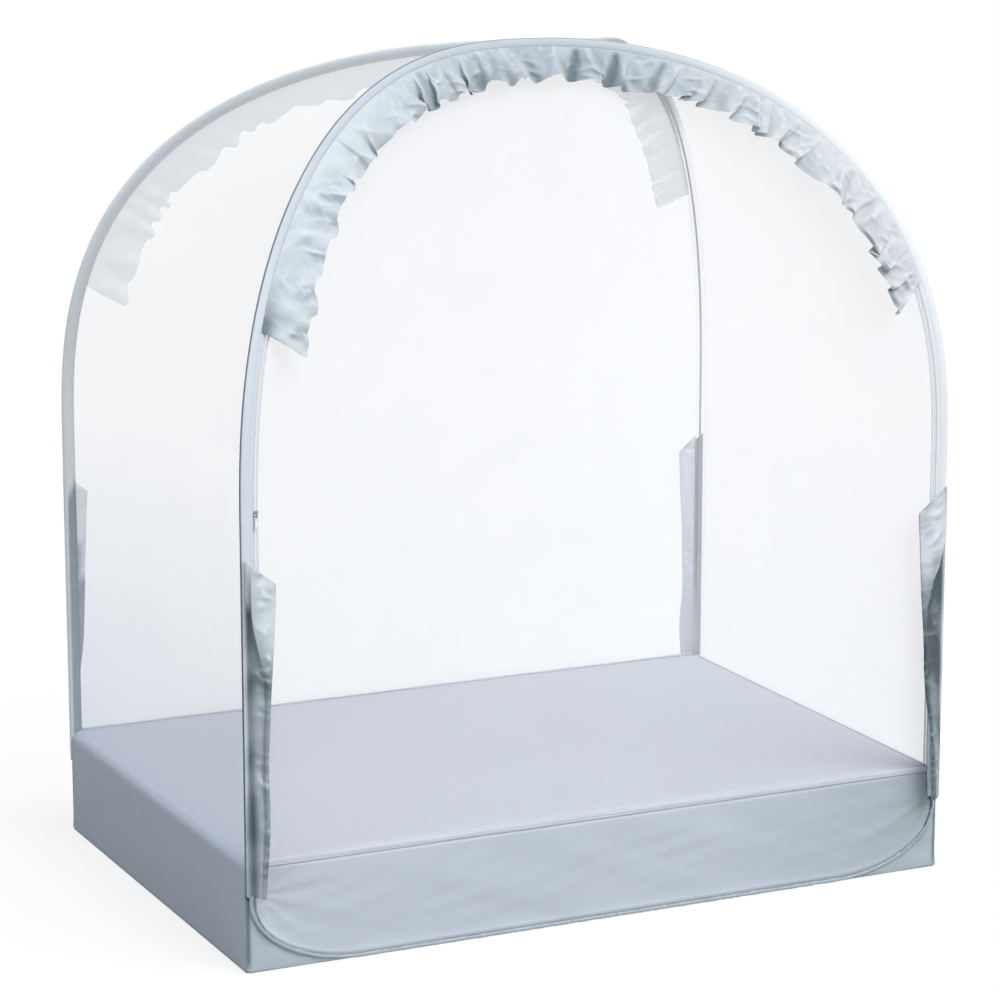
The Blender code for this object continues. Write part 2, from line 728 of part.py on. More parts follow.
def make_side_base(hand, word):
    """Skirt and seam tape of one short side."""
    half = HOOP_PLANE - SLEEVE_DEPTH / 2 - SEAM_GAP
    middle = hand * SIDE_PLANE
    cloth = SKIRT_CLOTH / 2
    box(f"{word}_skirt", (middle - cloth, -half, 0), (middle + cloth, half, SKIRT_TOP), "skirt_cloth")
    tape = TAPE_CLOTH / 2
    low = (middle - tape, -half, TAPE_FOOT)
    high = (middle + tape, half, BASE_HEIGHT)
    box(f"{word}_seam_tape", low, high, "sleeve_cloth")


def mattress_half_size():
    """Half length and half depth of the mattress inside the skirts."""
    half_length = SIDE_PLANE - TAPE_CLOTH / 2 - MATTRESS_CLEARANCE
    half_depth = HOOP_PLANE - PIPING_RADIUS - SEAM_GAP - MATTRESS_CLEARANCE
    return half_length, half_depth


def make_floor():
    """The floor cloth under the mattress."""
    half_length = SIDE_PLANE - SKIRT_CLOTH / 2 - SEAM_GAP
    half_depth = HOOP_PLANE - PIPING_RADIUS - SEAM_GAP
    box("floor_cloth", (-half_length, -half_depth, 0), (half_length, half_depth, FLOOR_CLOTH), "skirt_cloth")


def make_mattress():
    """The mattress: a coarse cage with a crown and drawn-in sides, rounded by subdivision."""
    half_length, half_depth = mattress_half_size()
    foot = FLOOR_CLOTH + SEAM_GAP
    top = BASE_HEIGHT - MATTRESS_EDGE_DROP
    half_height = (top - foot) / 2
    middle = (top + foot) / 2
    builder = bmesh.new()
    bmesh.ops.create_cube(builder, size=2.0)
    bmesh.ops.subdivide_edges(builder, edges=builder.edges, cuts=4, use_grid_fill=True)
    for vert in builder.verts:
        unit = vert.co.copy()
        place = []
        for value, half in zip(unit, (half_length, half_depth, half_height)):
            near_edge = abs(value) > 0.5 and abs(value) < 0.99
            place.append(math.copysign(half - MATTRESS_ROUNDING, value) if near_edge else value * half)
        flat = math.cos(unit.x * math.pi / 2) * math.cos(unit.y * math.pi / 2)
        if unit.z > 0.99:
            place[2] += MATTRESS_CROWN * flat ** 0.5 if flat > 0 else 0.0
        waist = MATTRESS_WAIST * math.cos(unit.z * math.pi / 2)
        if abs(unit.x) > 0.99:
            place[0] -= math.copysign(waist, unit.x)
        if abs(unit.y) > 0.99:
            place[1] -= math.copysign(waist, unit.y)
        vert.co = Vector(place) + Vector((0, 0, middle))
    piece = add_piece("mattress", mesh_from(builder, "mattress"), "mattress_cloth")
    rounding = piece.modifiers.new("rounding", "SUBSURF")
    rounding.levels = 1
    rounding.render_levels = 1
    return piece


def main():
    """Build the tent."""
    front = Hoop(FRONT)
    back = Hoop(BACK)
    make_floor()
    make_mattress()
    for hoop, word in ((front, "front"), (back, "back")):
        make_hoop(hoop, word)
        make_end_base(hoop, word)
        make_valance(hoop, f"{word}_valance")
        for hand, side_word in ((LEFT, "left"), (RIGHT, "right")):
            make_flap(hoop.side, hand, f"{word}_{side_word}_flap")
    for hand, word in ((LEFT, "left"), (RIGHT, "right")):
        make_side_base(hand, word)
    make_end_nets(front, back)
    make_side_nets(front, back)
    make_zip(front)
    make_slider()
    make_pull("outer_pull", FRONT)
    make_pull("inner_pull", BACK)


clear_scene()
PIECES = collection("mosquito_net_tent")
CUTTERS = collection("cutters")
main()
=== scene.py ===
"""Looks of a mosquito net tent that stands over a mattress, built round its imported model."""
import logging
import math
from collections.abc import Callable, Iterator
from contextlib import contextmanager
from dataclasses import dataclass, field
from enum import Enum
from typing import ClassVar

import bpy
import numpy as np
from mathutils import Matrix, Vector


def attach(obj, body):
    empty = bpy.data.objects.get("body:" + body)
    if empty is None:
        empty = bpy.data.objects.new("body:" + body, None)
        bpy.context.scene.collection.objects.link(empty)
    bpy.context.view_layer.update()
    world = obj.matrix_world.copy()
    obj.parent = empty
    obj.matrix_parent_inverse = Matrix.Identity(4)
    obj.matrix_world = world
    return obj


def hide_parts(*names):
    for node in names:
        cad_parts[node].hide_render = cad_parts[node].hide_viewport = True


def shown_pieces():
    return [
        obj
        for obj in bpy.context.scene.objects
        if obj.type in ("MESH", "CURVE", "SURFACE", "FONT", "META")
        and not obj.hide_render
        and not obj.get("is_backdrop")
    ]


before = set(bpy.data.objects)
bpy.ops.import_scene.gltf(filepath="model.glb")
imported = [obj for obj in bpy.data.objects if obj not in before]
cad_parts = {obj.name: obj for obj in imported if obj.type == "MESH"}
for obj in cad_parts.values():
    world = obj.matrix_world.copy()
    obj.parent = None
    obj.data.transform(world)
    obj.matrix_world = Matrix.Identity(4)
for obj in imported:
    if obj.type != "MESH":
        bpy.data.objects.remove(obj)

LOG = logging.getLogger("net_tent")
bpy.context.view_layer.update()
BODY = "tent"
Colour = tuple[float, float, float]

# A ripple's or crumple's length in metres of cloth, its height in metres or in lightness, and for some its stretch
Wave = tuple[float, ...]


class End(Enum):
    """The two long sides of the bed."""

    FRONT = -1
    BACK = 1

    @property
    def word(self) -> str:
        """The side's name in the names of pieces and nodes."""
        return self.name.lower()


class Hand(Enum):
    """The two short sides of the bed, as seen from the front."""

    LEFT = -1
    RIGHT = 1

    @property
    def word(self) -> str:
        """The side's name in the names of pieces and nodes."""
        return self.name.lower()


# ---- shader graphs ----


class Pin:
    """An output of a shader node that can stand in a sum."""

    def __init__(self, graph: "Graph", socket: bpy.types.NodeSocket) -> None:
        """Keep the socket and the graph that it belongs to."""
        self.graph = graph
        self.socket = socket

    def _math(self, operation: str, *values: object) -> "Pin":
        """Add a Math node on values or pins."""
        return self.graph.node("ShaderNodeMath", {"operation": operation}, dict(enumerate(values)))

    def __add__(self, other: object) -> "Pin":
        """Sum."""
        return self._math("ADD", self, other)

    def __radd__(self, other: object) -> "Pin":
        """Sum, the other way round."""
        return self._math("ADD", other, self)

    def __sub__(self, other: object) -> "Pin":
        """Difference."""
        return self._math("SUBTRACT", self, other)

    def __rsub__(self, other: object) -> "Pin":
        """Difference, the other way round."""
        return self._math("SUBTRACT", other, self)

    def __mul__(self, other: object) -> "Pin":
        """Product."""
        return self._math("MULTIPLY", self, other)

    def __rmul__(self, other: object) -> "Pin":
        """Product, the other way round."""
        return self._math("MULTIPLY", other, self)

    def __gt__(self, other: object) -> "Pin":
        """1 where this is the greater."""
        return self._math("GREATER_THAN", self, other)

    def __lt__(self, other: object) -> "Pin":
        """1 where this is the lesser."""
        return self._math("LESS_THAN", self, other)

    def wave(self, length: float) -> "Pin":
        """A wave from 0 to 1 with this length.

        Args:
            length: Distance between two crests, in the units of this pin.

        Returns:
            The wave's pin.
        """
        return self._math("SINE", self * (2 * math.pi / length)) * 0.5 + 0.5

    def part(self, length: float) -> "Pin":
        """The part of a cell of this length that has passed, from 0 to 1."""
        return self._math("FRACT", self * (1 / length))

    def size(self) -> "Pin":
        """The size without its sign."""
        return self._math("ABSOLUTE", self)

    def clamped(self) -> "Pin":
        """This, kept between 0 and 1."""
        return self.graph.node("ShaderNodeClamp", {}, {"Value": self})

    def share(self, low: float, high: float) -> "Pin":
        """How far this is on its way from low to high, from 0 to 1."""
        return ((self - low) * (1 / (high - low))).clamped()

    def near(self, middle: float, width: float) -> "Pin":
        """1 within half a width of the middle, falling off softly to 0 outside it."""
        return ((self - middle).size() * (-2 / width) + 2).clamped()


class Graph:
    """The node graph of one material or world."""

    def __init__(self, owner: bpy.types.ID, output: str = "ShaderNodeOutputMaterial") -> None:
        """Start with nothing but the output."""
        self.owner = owner
        owner.use_nodes = True
        self.tree = owner.node_tree
        self.tree.nodes.clear()
        self.output = self.tree.nodes.new(output)

    @classmethod
    def of_material(cls, name: str) -> "Graph":
        """The graph of a new material."""
        return cls(bpy.data.materials.new(name))

    @property
    def material(self) -> bpy.types.Material:
        """The material that the graph is for."""
        return self.owner

    def node(self, kind: str, settings: dict, inputs: dict, output: int | str = 0) -> Pin:
        """Add a node.

        Args:
            kind: The node's type.
            settings: What is set on the node itself.
            inputs: Values or pins by input name or index.
            output: The output that is returned.

        Returns:
            A pin on that output.
        """
        made = self.tree.nodes.new(kind)
        for name, value in settings.items():
            setattr(made, name, value)
        for key, value in inputs.items():
            if isinstance(value, Pin):
                self.tree.links.new(value.socket, made.inputs[key])
            else:
                made.inputs[key].default_value = value
        return Pin(self, made.outputs[output])

    def finish(self, shader: Pin) -> None:
        """Join a shader to the output."""
        self.tree.links.new(shader.socket, self.output.inputs["Surface"])

    def surface(self, inputs: dict) -> None:
        """Add the main shader and join it to the output."""
        self.finish(self.node("ShaderNodeBsdfPrincipled", {}, inputs))

    def mixed_surface(self, factor: Pin, first: Pin, second: Pin) -> None:
        """Join two shaders by a factor to the output."""
        self.finish(self.node("ShaderNodeMixShader", {}, {0: factor, 1: first, 2: second}))

    def attribute(self, name: str) -> Pin:
        """A number that the mesh carries at each point."""
        return self.node("ShaderNodeAttribute", {"attribute_name": name}, {}, "Fac")

    def axis(self, where: Pin, letter: str) -> Pin:
        """One axis of a place."""
        return self.node("ShaderNodeSeparateXYZ", {}, {0: where}, letter)

    def place(self) -> Pin:
        """Object coordinates."""
        return self.node("ShaderNodeTexCoord", {}, {}, "Object")

    def cloth_axes(self) -> tuple[Pin, Pin]:
        """Distance along and across the cloth, in metres, from its own map."""
        flat = self.node("ShaderNodeUVMap", {"uv_map": "UVMap"}, {})
        along = self.axis(flat, "X")
        return along, Pin(self, along.socket.node.outputs["Y"])

    def noise(self, where: Pin, scale: float, detail: float = 3.0) -> Pin:
        """A soft noise from 0 to 1."""
        return self.node("ShaderNodeTexNoise", {}, {"Vector": where, "Scale": scale, "Detail": detail}, 0)

    def stretched(self, along: Pin, across: Pin, scale: tuple[float, float]) -> Pin:
        """Cloth axes scaled each by its own factor, as a vector."""
        return self.node("ShaderNodeCombineXYZ", {}, {0: along * scale[0], 1: across * scale[1]})

    def blend(self, factor: object, first: object, second: object) -> Pin:
        """Mix two colours."""
        settings = {"data_type": "RGBA", "blend_type": "MIX"}
        first = first if isinstance(first, Pin) else (*first, 1.0)
        second = second if isinstance(second, Pin) else (*second, 1.0)
        return self.node("ShaderNodeMix", settings, {0: factor, 6: first, 7: second}, 2)

    def bump(self, height: Pin, strength: float, distance: float) -> Pin:
        """A normal from a height."""
        inputs = {"Height": height, "Strength": strength, "Distance": distance}
        return self.node("ShaderNodeBump", {}, inputs)


# Sewing, in metres of cloth: a stitch's pitch, its share of it and its width, and the overlock's pitch
STITCH_PITCH = 0.0034
STITCH_SHARE = 0.62
STITCH_WIDTH = 0.0011
WHIP_PITCH = 0.0062
# How far a seam sinks the cloth and a stitch rises from it, as shares of the bump
SEAM_SINK = 0.9
STITCH_RISE = 1.3


@dataclass(frozen=True)
class WovenFinish:
    """Plain woven polyester with a soft sheen.

    The cloth may carry painted light and shade that change its colour towards the right, painted shade where the tone
    of its piece is low, be sewn through (stitches), overlocked along its edges (bindings), and sheerer towards the
    right (right_cover).
    """

    name: str
    colour: Colour
    shade: Colour
    thread: float = 0.0011
    roughness: float = 0.72
    sheen: float = 0.25
    creases: float = 0.5
    cover: float = 1.0
    stitches: tuple[float, ...] = ()
    bindings: tuple[tuple[float, float], ...] = ()
    binding_colour: Colour = (0.10, 0.135, 0.155)
    # Painted shade: the colour where the tone of a piece is 0, in its folds, gaps and sides turned from the lamps
    painted_shade: Colour | None = None
    # Painted light and shade: the colour the cloth turns to towards the right, and the run in X over which it does
    right_painted_light: Colour | None = None
    right_painted_light_run: tuple[float, float] = (0.15, 0.85)
    right_cover: float | None = None
    cover_run: tuple[float, float] = (-0.2, 0.5)
    cloud_scale: float = 7.0
    crease_scale: float = 55.0
    yarn: tuple[float, float] = (14.0, 900.0)
    bump: tuple[float, float] = (0.35, 0.0009)

    def build(self) -> bpy.types.Material:
        """Make the material.

        Returns:
            The finished material.
        """
        graph = Graph.of_material(self.name)
        along, across = graph.cloth_axes()
        place = graph.place()
        cloud = graph.noise(place, self.cloud_scale)
        streak = graph.noise(graph.stretched(along, across, self.yarn), 1.0)
        slub = graph.noise(graph.stretched(along, across, self.yarn[::-1]), 1.0)
        weave = along.wave(self.thread) * across.wave(self.thread)
        tone = cloud * 0.5 + streak * 0.25 + slub * 0.25
        colour = graph.blend(tone, self.shade, self.colour)
        crease = graph.noise(place, self.crease_scale, 5.0)
        height = weave * 0.12 + streak * 0.15 + slub * 0.15 + crease * self.creases
        for middle in self.stitches:
            dash = along.part(STITCH_PITCH) < STITCH_SHARE
            row = across.near(middle, STITCH_WIDTH)
            height = height - row * SEAM_SINK + row * dash * STITCH_RISE
            colour = graph.blend(row * 0.35, colour, self.shade)
        for start, end in self.bindings:
            edge = across.near((start + end) / 2, end - start)
            whip = along.part(WHIP_PITCH).near(0.5, 0.5)
            colour = graph.blend(edge * (whip * 0.35 + 0.65), colour, self.binding_colour)
            height = height + edge * whip * 0.8
        sideways = graph.axis(place, "X")
        # Painted light and shade: the colour shifts across X, lighter on the sleeves and darker on the skirt
        if self.right_painted_light:
            colour = graph.blend(sideways.share(*self.right_painted_light_run), colour, self.right_painted_light)
        cover = self.cover
        if self.right_cover is not None:
            cover = sideways.share(*self.cover_run) * (self.right_cover - self.cover) + self.cover
        # Painted shade: where the piece's tone is low the colour darkens, in its folds, gaps and shaded sides
        if self.painted_shade:
            colour = graph.blend(graph.attribute("tone"), self.painted_shade, colour)
        normal = graph.bump(height, *self.bump)
        graph.surface({
            "Base Color": colour,
            "Roughness": self.roughness - tone * 0.08,
            "Sheen Weight": self.sheen,
            "Sheen Roughness": 0.45,
            "Specular IOR Level": 0.3,
            "Alpha": cover,
            "Normal": normal,
        })
        return graph.material


@dataclass(frozen=True)
class NetFinish:
    """Very fine see-through mesh with a denser rim where it is hemmed, and painted shade towards its foot."""

    name: str = "white_netting"
    colour: Colour = (0.88, 0.91, 0.97)
    mesh: float = 0.0022
    cover: float = 0.17
    thread_cover: float = 0.06
    rim_cover: float = 0.05
    # Painted shade towards the foot: a darker colour, laid on more thickly, over a band of heights
    low_painted_shade: Colour = (0.80, 0.83, 0.90)
    low_cover: float = 0.05
    low_heights: tuple[float, float] = (0.95, 0.25)
    cloud_scale: float = 5.0

    def build(self) -> bpy.types.Material:
        """Make the material.

        Returns:
            The finished material.
        """
        graph = Graph.of_material(self.name)
        along, across = graph.cloth_axes()
        threads = along.wave(self.mesh) + across.wave(self.mesh)
        rim = graph.attribute("rim")
        cloud = graph.noise(graph.place(), self.cloud_scale)
        # Painted shade: darker and denser towards the foot
        low = graph.axis(graph.place(), "Z").share(*self.low_heights)
        alpha = threads * self.thread_cover + (self.cover - self.thread_cover)
        alpha = alpha * (cloud * 0.5 + 0.75) + rim * self.rim_cover + low * self.low_cover
        graph.surface({
            "Base Color": graph.blend(low, self.colour, self.low_painted_shade),
            "Roughness": 0.8,
            "Specular IOR Level": 0.15,
            "Alpha": alpha,
        })
        return graph.material


@dataclass(frozen=True)
class MetalFinish:
    """Plated or bare metal with fine brush marks and handling wear."""

    name: str
    colour: Colour
    worn: Colour
    roughness: float
    brush_scale: float = 900.0
    wear_scale: float = 160.0
    bump: tuple[float, float] = (0.08, 0.0003)

    def build(self) -> bpy.types.Material:
        """Make the material.

        Returns:
            The finished material.
        """
        graph = Graph.of_material(self.name)
        place = graph.place()
        brushed = graph.noise(place, self.brush_scale, 4.0)
        worn = graph.noise(place, self.wear_scale)
        graph.surface({
            "Base Color": graph.blend(worn, self.worn, self.colour),
            "Metallic": 1.0,
            "Roughness": worn * 0.15 + (self.roughness - 0.07),
            "Normal": graph.bump(brushed, *self.bump),
        })
        return graph.material


@dataclass(frozen=True)
class CoilFinish:
    """Moulded nylon of the zip's teeth."""

    name: str = "zip_coil_nylon"
    colour: Colour = (0.80, 0.83, 0.87)
    darker: Colour = (0.86, 0.86, 0.88)
    cloud_scale: float = 240.0

    def build(self) -> bpy.types.Material:
        """Make the material.

        Returns:
            The finished material.
        """
        graph = Graph.of_material(self.name)
        cloud = graph.noise(graph.place(), self.cloud_scale)
        darker = tuple(light * share for light, share in zip(self.colour, self.darker))
        graph.surface({
            "Base Color": graph.blend(cloud, darker, self.colour),
            "Roughness": cloud * 0.2 + 0.35,
            "Specular IOR Level": 0.4,
        })
        return graph.material


WHITE: Colour = (1.0, 1.0, 1.0)
# Colour and shade of cloths that more than one finish or piece shares
SKIRT: tuple[Colour, Colour] = (0.55, 0.60, 0.66), (0.49, 0.54, 0.60)
PAD: tuple[Colour, Colour] = (0.625, 0.655, 0.725), (0.585, 0.615, 0.685)
MATTRESS: tuple[Colour, Colour] = (0.580, 0.610, 0.670), (0.545, 0.572, 0.632)


class Cloths:
    """The finishes that the sub-assemblies share, each made once."""

    def __init__(self) -> None:
        """Make every finish."""
        self.band = {
            # Painted shade at the crown and left of the arch, and painted light towards the right
            End.FRONT: WovenFinish(
                "front_band_cloth", (0.73, 0.785, 0.845), (0.64, 0.70, 0.765), stitches=(0.0215,),
                bindings=((-0.001, 0.0026), (0.0485, 0.0600)), painted_shade=(0.20, 0.26, 0.31),
                right_painted_light=(0.82, 0.85, 0.88), right_painted_light_run=(-0.25, 0.55),
            ).build(),
            # Pale cloth painted paler as if lit from behind; painted shade in the left leg, painted light at right
            End.BACK: WovenFinish(
                "back_band_cloth", (0.93, 0.965, 0.985), (0.86, 0.895, 0.92), stitches=(0.0215,),
                painted_shade=(0.12, 0.15, 0.165), right_painted_light=(0.95, 0.96, 0.97), right_painted_light_run=(-0.35, 0.45),
                right_cover=0.07, cover_run=(0.40, 0.62),
            ).build(),
        }
        self.frill = {
            # Painted shade in the pleats, hollows and curls, and painted light turning greyer towards the right
            End.FRONT: WovenFinish(
                "front_frill_cloth", (0.65, 0.70, 0.735), (0.57, 0.625, 0.67), creases=1.3,
                painted_shade=(0.165, 0.215, 0.245), right_painted_light=(0.665, 0.68, 0.695), right_painted_light_run=(0.10, 0.72),
            ).build(),
            End.BACK: WovenFinish(
                "back_frill_voile", (0.93, 0.965, 0.98), (0.89, 0.93, 0.95), creases=0.6,
                cover=0.23, right_cover=0.27,
            ).build(),
        }
        self.flap = {
            # Painted shade in the flaps' gaps and folds
            End.FRONT: WovenFinish(
                "front_flap_cloth", (0.70, 0.76, 0.80), (0.63, 0.69, 0.735), creases=0.9,
                painted_shade=(0.07, 0.10, 0.12),
            ).build(),
            End.BACK: WovenFinish(
                "back_flap_cloth", (0.88, 0.91, 0.94), (0.83, 0.865, 0.90), creases=0.9,
                painted_shade=(0.10, 0.14, 0.17),
            ).build(),
        }
        # Painted shade on the piping's underside
        self.cord = WovenFinish(
            "cord_cloth", (0.55, 0.61, 0.665), (0.49, 0.55, 0.60), painted_shade=(0.08, 0.13, 0.175),
        ).build()
        # Painted shade that darkens the skirt towards the right
        self.skirt = WovenFinish(
            "skirt_cloth", *SKIRT, sheen=0.15, right_painted_light=(0.405, 0.46, 0.495), right_painted_light_run=(0.25, 0.72),
        ).build()
        # Painted shade beside the piping and along the outer edge of the corner
        self.gusset = WovenFinish(
            "gusset_cloth", (0.445, 0.515, 0.56), (0.41, 0.48, 0.525), painted_shade=(0.08, 0.14, 0.19),
        ).build()
        # Painted shade on the side skirt's wall, turning to the cover's own colour over the mattress's edge
        self.wrap = WovenFinish("side_skirt_cloth", *PAD, sheen=0.15, painted_shade=(0.43, 0.475, 0.525)).build()
        self.tape = WovenFinish("seam_tape_cloth", *PAD, stitches=(0.0040,)).build()
        self.mattress = WovenFinish("mattress_cover", *MATTRESS, thread=0.0016, sheen=0.3, creases=0.35).build()
        self.net = NetFinish().build()
        self.wall_net = {
            # Painted bluish shade, laid on thickly low on the left wall
            Hand.LEFT: NetFinish(
                "shaded_netting", colour=(0.97, 0.98, 1.0), cover=0.10,
                low_painted_shade=(0.80, 0.86, 1.0), low_cover=0.34,
            ).build(),
            Hand.RIGHT: NetFinish(
                "far_netting", colour=(0.97, 0.98, 1.0), cover=0.10, thread_cover=0.04,
            ).build(),
        }
        self.zip_tape = WovenFinish(
            "zip_tape_cloth", (0.88, 0.90, 0.93), (0.80, 0.83, 0.87), cover=0.6,
        ).build()
        self.coil = CoilFinish().build()
        self.steel = MetalFinish("spring_wire_steel", (0.45, 0.46, 0.48), (0.36, 0.36, 0.37), 0.38).build()
        self.plated = MetalFinish("slider_plating", (0.34, 0.36, 0.39), (0.26, 0.28, 0.30), 0.32).build()
        self.bright = MetalFinish("pull_plating", (0.78, 0.80, 0.82), (0.66, 0.68, 0.70), 0.3).build()


# ---- modelling helpers ----

# Middle of the tent, the gap below which two points of a rolled-up grid are one, and the least share of its box that
# a sheet's area is given as
MIDDLE = (0.0, 0.0, 0.85)
WELD_GAP = 0.00002
LEAST_AREA = 0.301


@dataclass(frozen=True)
class Ripple:
    """Soft unevenness of cloth, as a sum of long waves in fixed directions."""

    seed: int
    length: float
    height: float
    stretch: float = 1.0
    waves: int = 9

    def over(self, along: np.ndarray, across: np.ndarray) -> np.ndarray:
        """Height over the cloth.

        Args:
            along: Distance along the cloth, in metres.
            across: Distance across it, in metres.

        Returns:
            The height at each point, in metres.
        """
        choice = np.random.default_rng(self.seed)
        total = np.zeros(np.broadcast(along, across).shape)
        for _ in range(self.waves):
            angle = choice.uniform(0, math.pi)
            rate = 2 * math.pi / (self.length * choice.uniform(0.6, 1.7))
            start = choice.uniform(0, 2 * math.pi)
            total += np.sin(rate * (math.cos(angle) * along + math.sin(angle) * across / self.stretch) + start)
        return total * self.height / math.sqrt(self.waves)


@dataclass(frozen=True)
class Crumple:
    """Sharp little creases of gathered cloth, as folds that come and go."""

    seed: int
    length: float
    height: float
    folds: int = 7

    def over(self, along: np.ndarray, across: np.ndarray) -> np.ndarray:
        """Height over the cloth.

        Args:
            along: Distance along the cloth, in metres.
            across: Distance across it, in metres.

        Returns:
            The height at each point, in metres.
        """
        choice = np.random.default_rng(self.seed)
        total = np.zeros(np.broadcast(along, across).shape)
        for number in range(self.folds):
            angle = choice.uniform(0, math.pi)
            rate = math.pi / (self.length * choice.uniform(0.7, 2.2))
            start = choice.uniform(0, math.pi)
            sway = Ripple(self.seed * 7 + number, self.length * 2.2, 0.35).over(along, across)
            ridge = 1 - np.abs(np.sin(rate * (math.cos(angle) * along + math.sin(angle) * across) + start + sway))
            shown = np.clip(Ripple(self.seed * 13 + number, self.length * 3.0, 1.0).over(along, across), 0, None)
            total += (ridge ** 3 - 0.25) * shown
        return total * self.height / math.sqrt(self.folds)


def eased(value: np.ndarray | float, start: float, run: float) -> np.ndarray | float:
    """0 up to the start, rising softly to 1 over the run, which is negative for a rise downwards."""
    part = np.clip((value - start) / run, 0.0, 1.0)
    return part * part * (3 - 2 * part)


def bell(value: np.ndarray | float, middle: float, width: np.ndarray | float) -> np.ndarray | float:
    """A soft bump of height 1 about a middle."""
    return np.exp(-((value - middle) / width) ** 2)


def grid(x: np.ndarray, y: np.ndarray, z: np.ndarray) -> np.ndarray:
    """Points by row, column and axis."""
    return np.stack(np.broadcast_arrays(x, y, z), -1)


def unit(vectors: np.ndarray) -> np.ndarray:
    """The vectors' directions."""
    return vectors / np.linalg.norm(vectors, axis=1)[:, None]


def run_along(line: np.ndarray) -> np.ndarray:
    """Distance of each point of a line from its start."""
    return np.concatenate([[0.0], np.cumsum(np.linalg.norm(np.diff(line, axis=0), axis=1))])


def resampled(places: np.ndarray, known: np.ndarray, table: np.ndarray) -> np.ndarray:
    """Values of a table at other places than those that it is known at."""
    return np.stack([np.interp(places, known, column) for column in table.T], -1)


def deselect() -> None:
    """Leave nothing selected."""
    bpy.ops.object.select_all(action="DESELECT")


def take(piece: bpy.types.Object) -> None:
    """Select one piece alone and make it active."""
    deselect()
    piece.select_set(True)
    bpy.context.view_layer.objects.active = piece


@contextmanager
def editing(piece: bpy.types.Object) -> Iterator[None]:
    """Edit the whole of one mesh for as long as the block lasts."""
    take(piece)
    bpy.ops.object.mode_set(mode="EDIT")
    bpy.ops.mesh.select_all(action="SELECT")
    yield
    bpy.ops.object.mode_set(mode="OBJECT")


def named(name: str) -> bpy.types.Object:
    """Give the primitive that was just added its name."""
    piece = bpy.context.object
    piece.name = piece.data.name = name
    return piece


def modify(piece: bpy.types.Object, kind: str, **settings: object) -> None:
    """Add a modifier, set it and apply it.

    Args:
        piece: The piece that it changes.
        kind: The modifier's type.
        **settings: What is set on it.
    """
    take(piece)
    modifier = piece.modifiers.new(kind.lower(), kind)
    for name, value in settings.items():
        setattr(modifier, name, value)
    bpy.ops.object.modifier_apply(modifier=modifier.name)


def corners_of(mesh: bpy.types.Mesh) -> np.ndarray:
    """The places of a mesh's points."""
    flat = np.zeros(len(mesh.vertices) * 3)
    mesh.vertices.foreach_get("co", flat)
    return flat.reshape(-1, 3)


def move_corners(mesh: bpy.types.Mesh, places: np.ndarray) -> None:
    """Put a mesh's points at new places."""
    mesh.vertices.foreach_set("co", places.ravel())
    mesh.update()


def edge_lengths(points: np.ndarray, axis: int) -> np.ndarray:
    """Distance along a grid's rows or columns, averaged over the other direction, from 0."""
    steps = np.linalg.norm(np.diff(points, axis=axis), axis=2).mean(axis=1 - axis)
    return np.concatenate([[0.0], np.cumsum(steps)])


def flat_area(points: np.ndarray) -> float:
    """Area of a grid of points."""
    first = points[1:, 1:] - points[:-1, :-1]
    second = points[1:, :-1] - points[:-1, 1:]
    return float(np.linalg.norm(np.cross(first, second), axis=2).sum() / 2)


def rim_of(points: np.ndarray) -> np.ndarray:
    """1 at a net's outermost points, where its hem doubles the mesh, and 0 further in."""
    along, across = edge_lengths(points, 1)[None], edge_lengths(points, 0)[:, None]
    away = np.minimum(np.minimum(along, along.max() - along), np.minimum(across, across.max() - across))
    cell = (across.max() / (across.size - 1) + along.max() / (along.size - 1)) / 2
    return np.clip(1 - away / cell, 0, 1)


def grid_piece(name: str, points: np.ndarray, **marks: np.ndarray | None) -> bpy.types.Object:
    """Draw a flat grid out into a curved sheet.

    Args:
        name: The piece's name.
        points: Places of its points, by row, column and axis.
        **marks: Numbers from 0 to 1 that its material reads at each point, such as its painted lightness (tone).

    Returns:
        The sheet, with a map in metres of cloth.
    """
    rows, columns = points.shape[:2]
    deselect()
    bpy.ops.mesh.primitive_grid_add(x_subdivisions=columns - 1, y_subdivisions=rows - 1, size=2.0)
    piece = named(name)
    mesh = piece.data
    flat = corners_of(mesh)
    column = np.rint((flat[:, 0] + 1) / 2 * (columns - 1)).astype(int)
    row = np.rint((flat[:, 1] + 1) / 2 * (rows - 1)).astype(int)
    mesh.vertices.foreach_set("co", points[row, column].ravel())
    corner = np.zeros(len(mesh.loops), dtype=int)
    mesh.loops.foreach_get("vertex_index", corner)
    along, across = edge_lengths(points, 1)[column[corner]], edge_lengths(points, 0)[row[corner]]
    cover = mesh.uv_layers.active
    cover.name = "UVMap"
    cover.data.foreach_set("uv", np.stack([along, across], 1).ravel())
    for mark, values in marks.items():
        if values is not None:
            layer = mesh.attributes.new(mark, "FLOAT", "POINT")
            layer.data.foreach_set("value", np.clip(values[row, column], 0, 1).astype(np.float32))
    mesh.update()
    take(piece)
    bpy.ops.object.shade_smooth()
    return piece


def face_away(piece: bpy.types.Object) -> None:
    """Turn an open sheet's faces away from the middle of the tent."""
    middle = Vector(MIDDLE)
    if sum(face.normal.dot(face.center - middle) * face.area for face in piece.data.polygons) < 0:
        with editing(piece):
            bpy.ops.mesh.flip_normals()


def dress(piece: bpy.types.Object, material: bpy.types.Material) -> None:
    """Give a piece its finish."""
    piece.data.materials.clear()
    piece.data.materials.append(material)


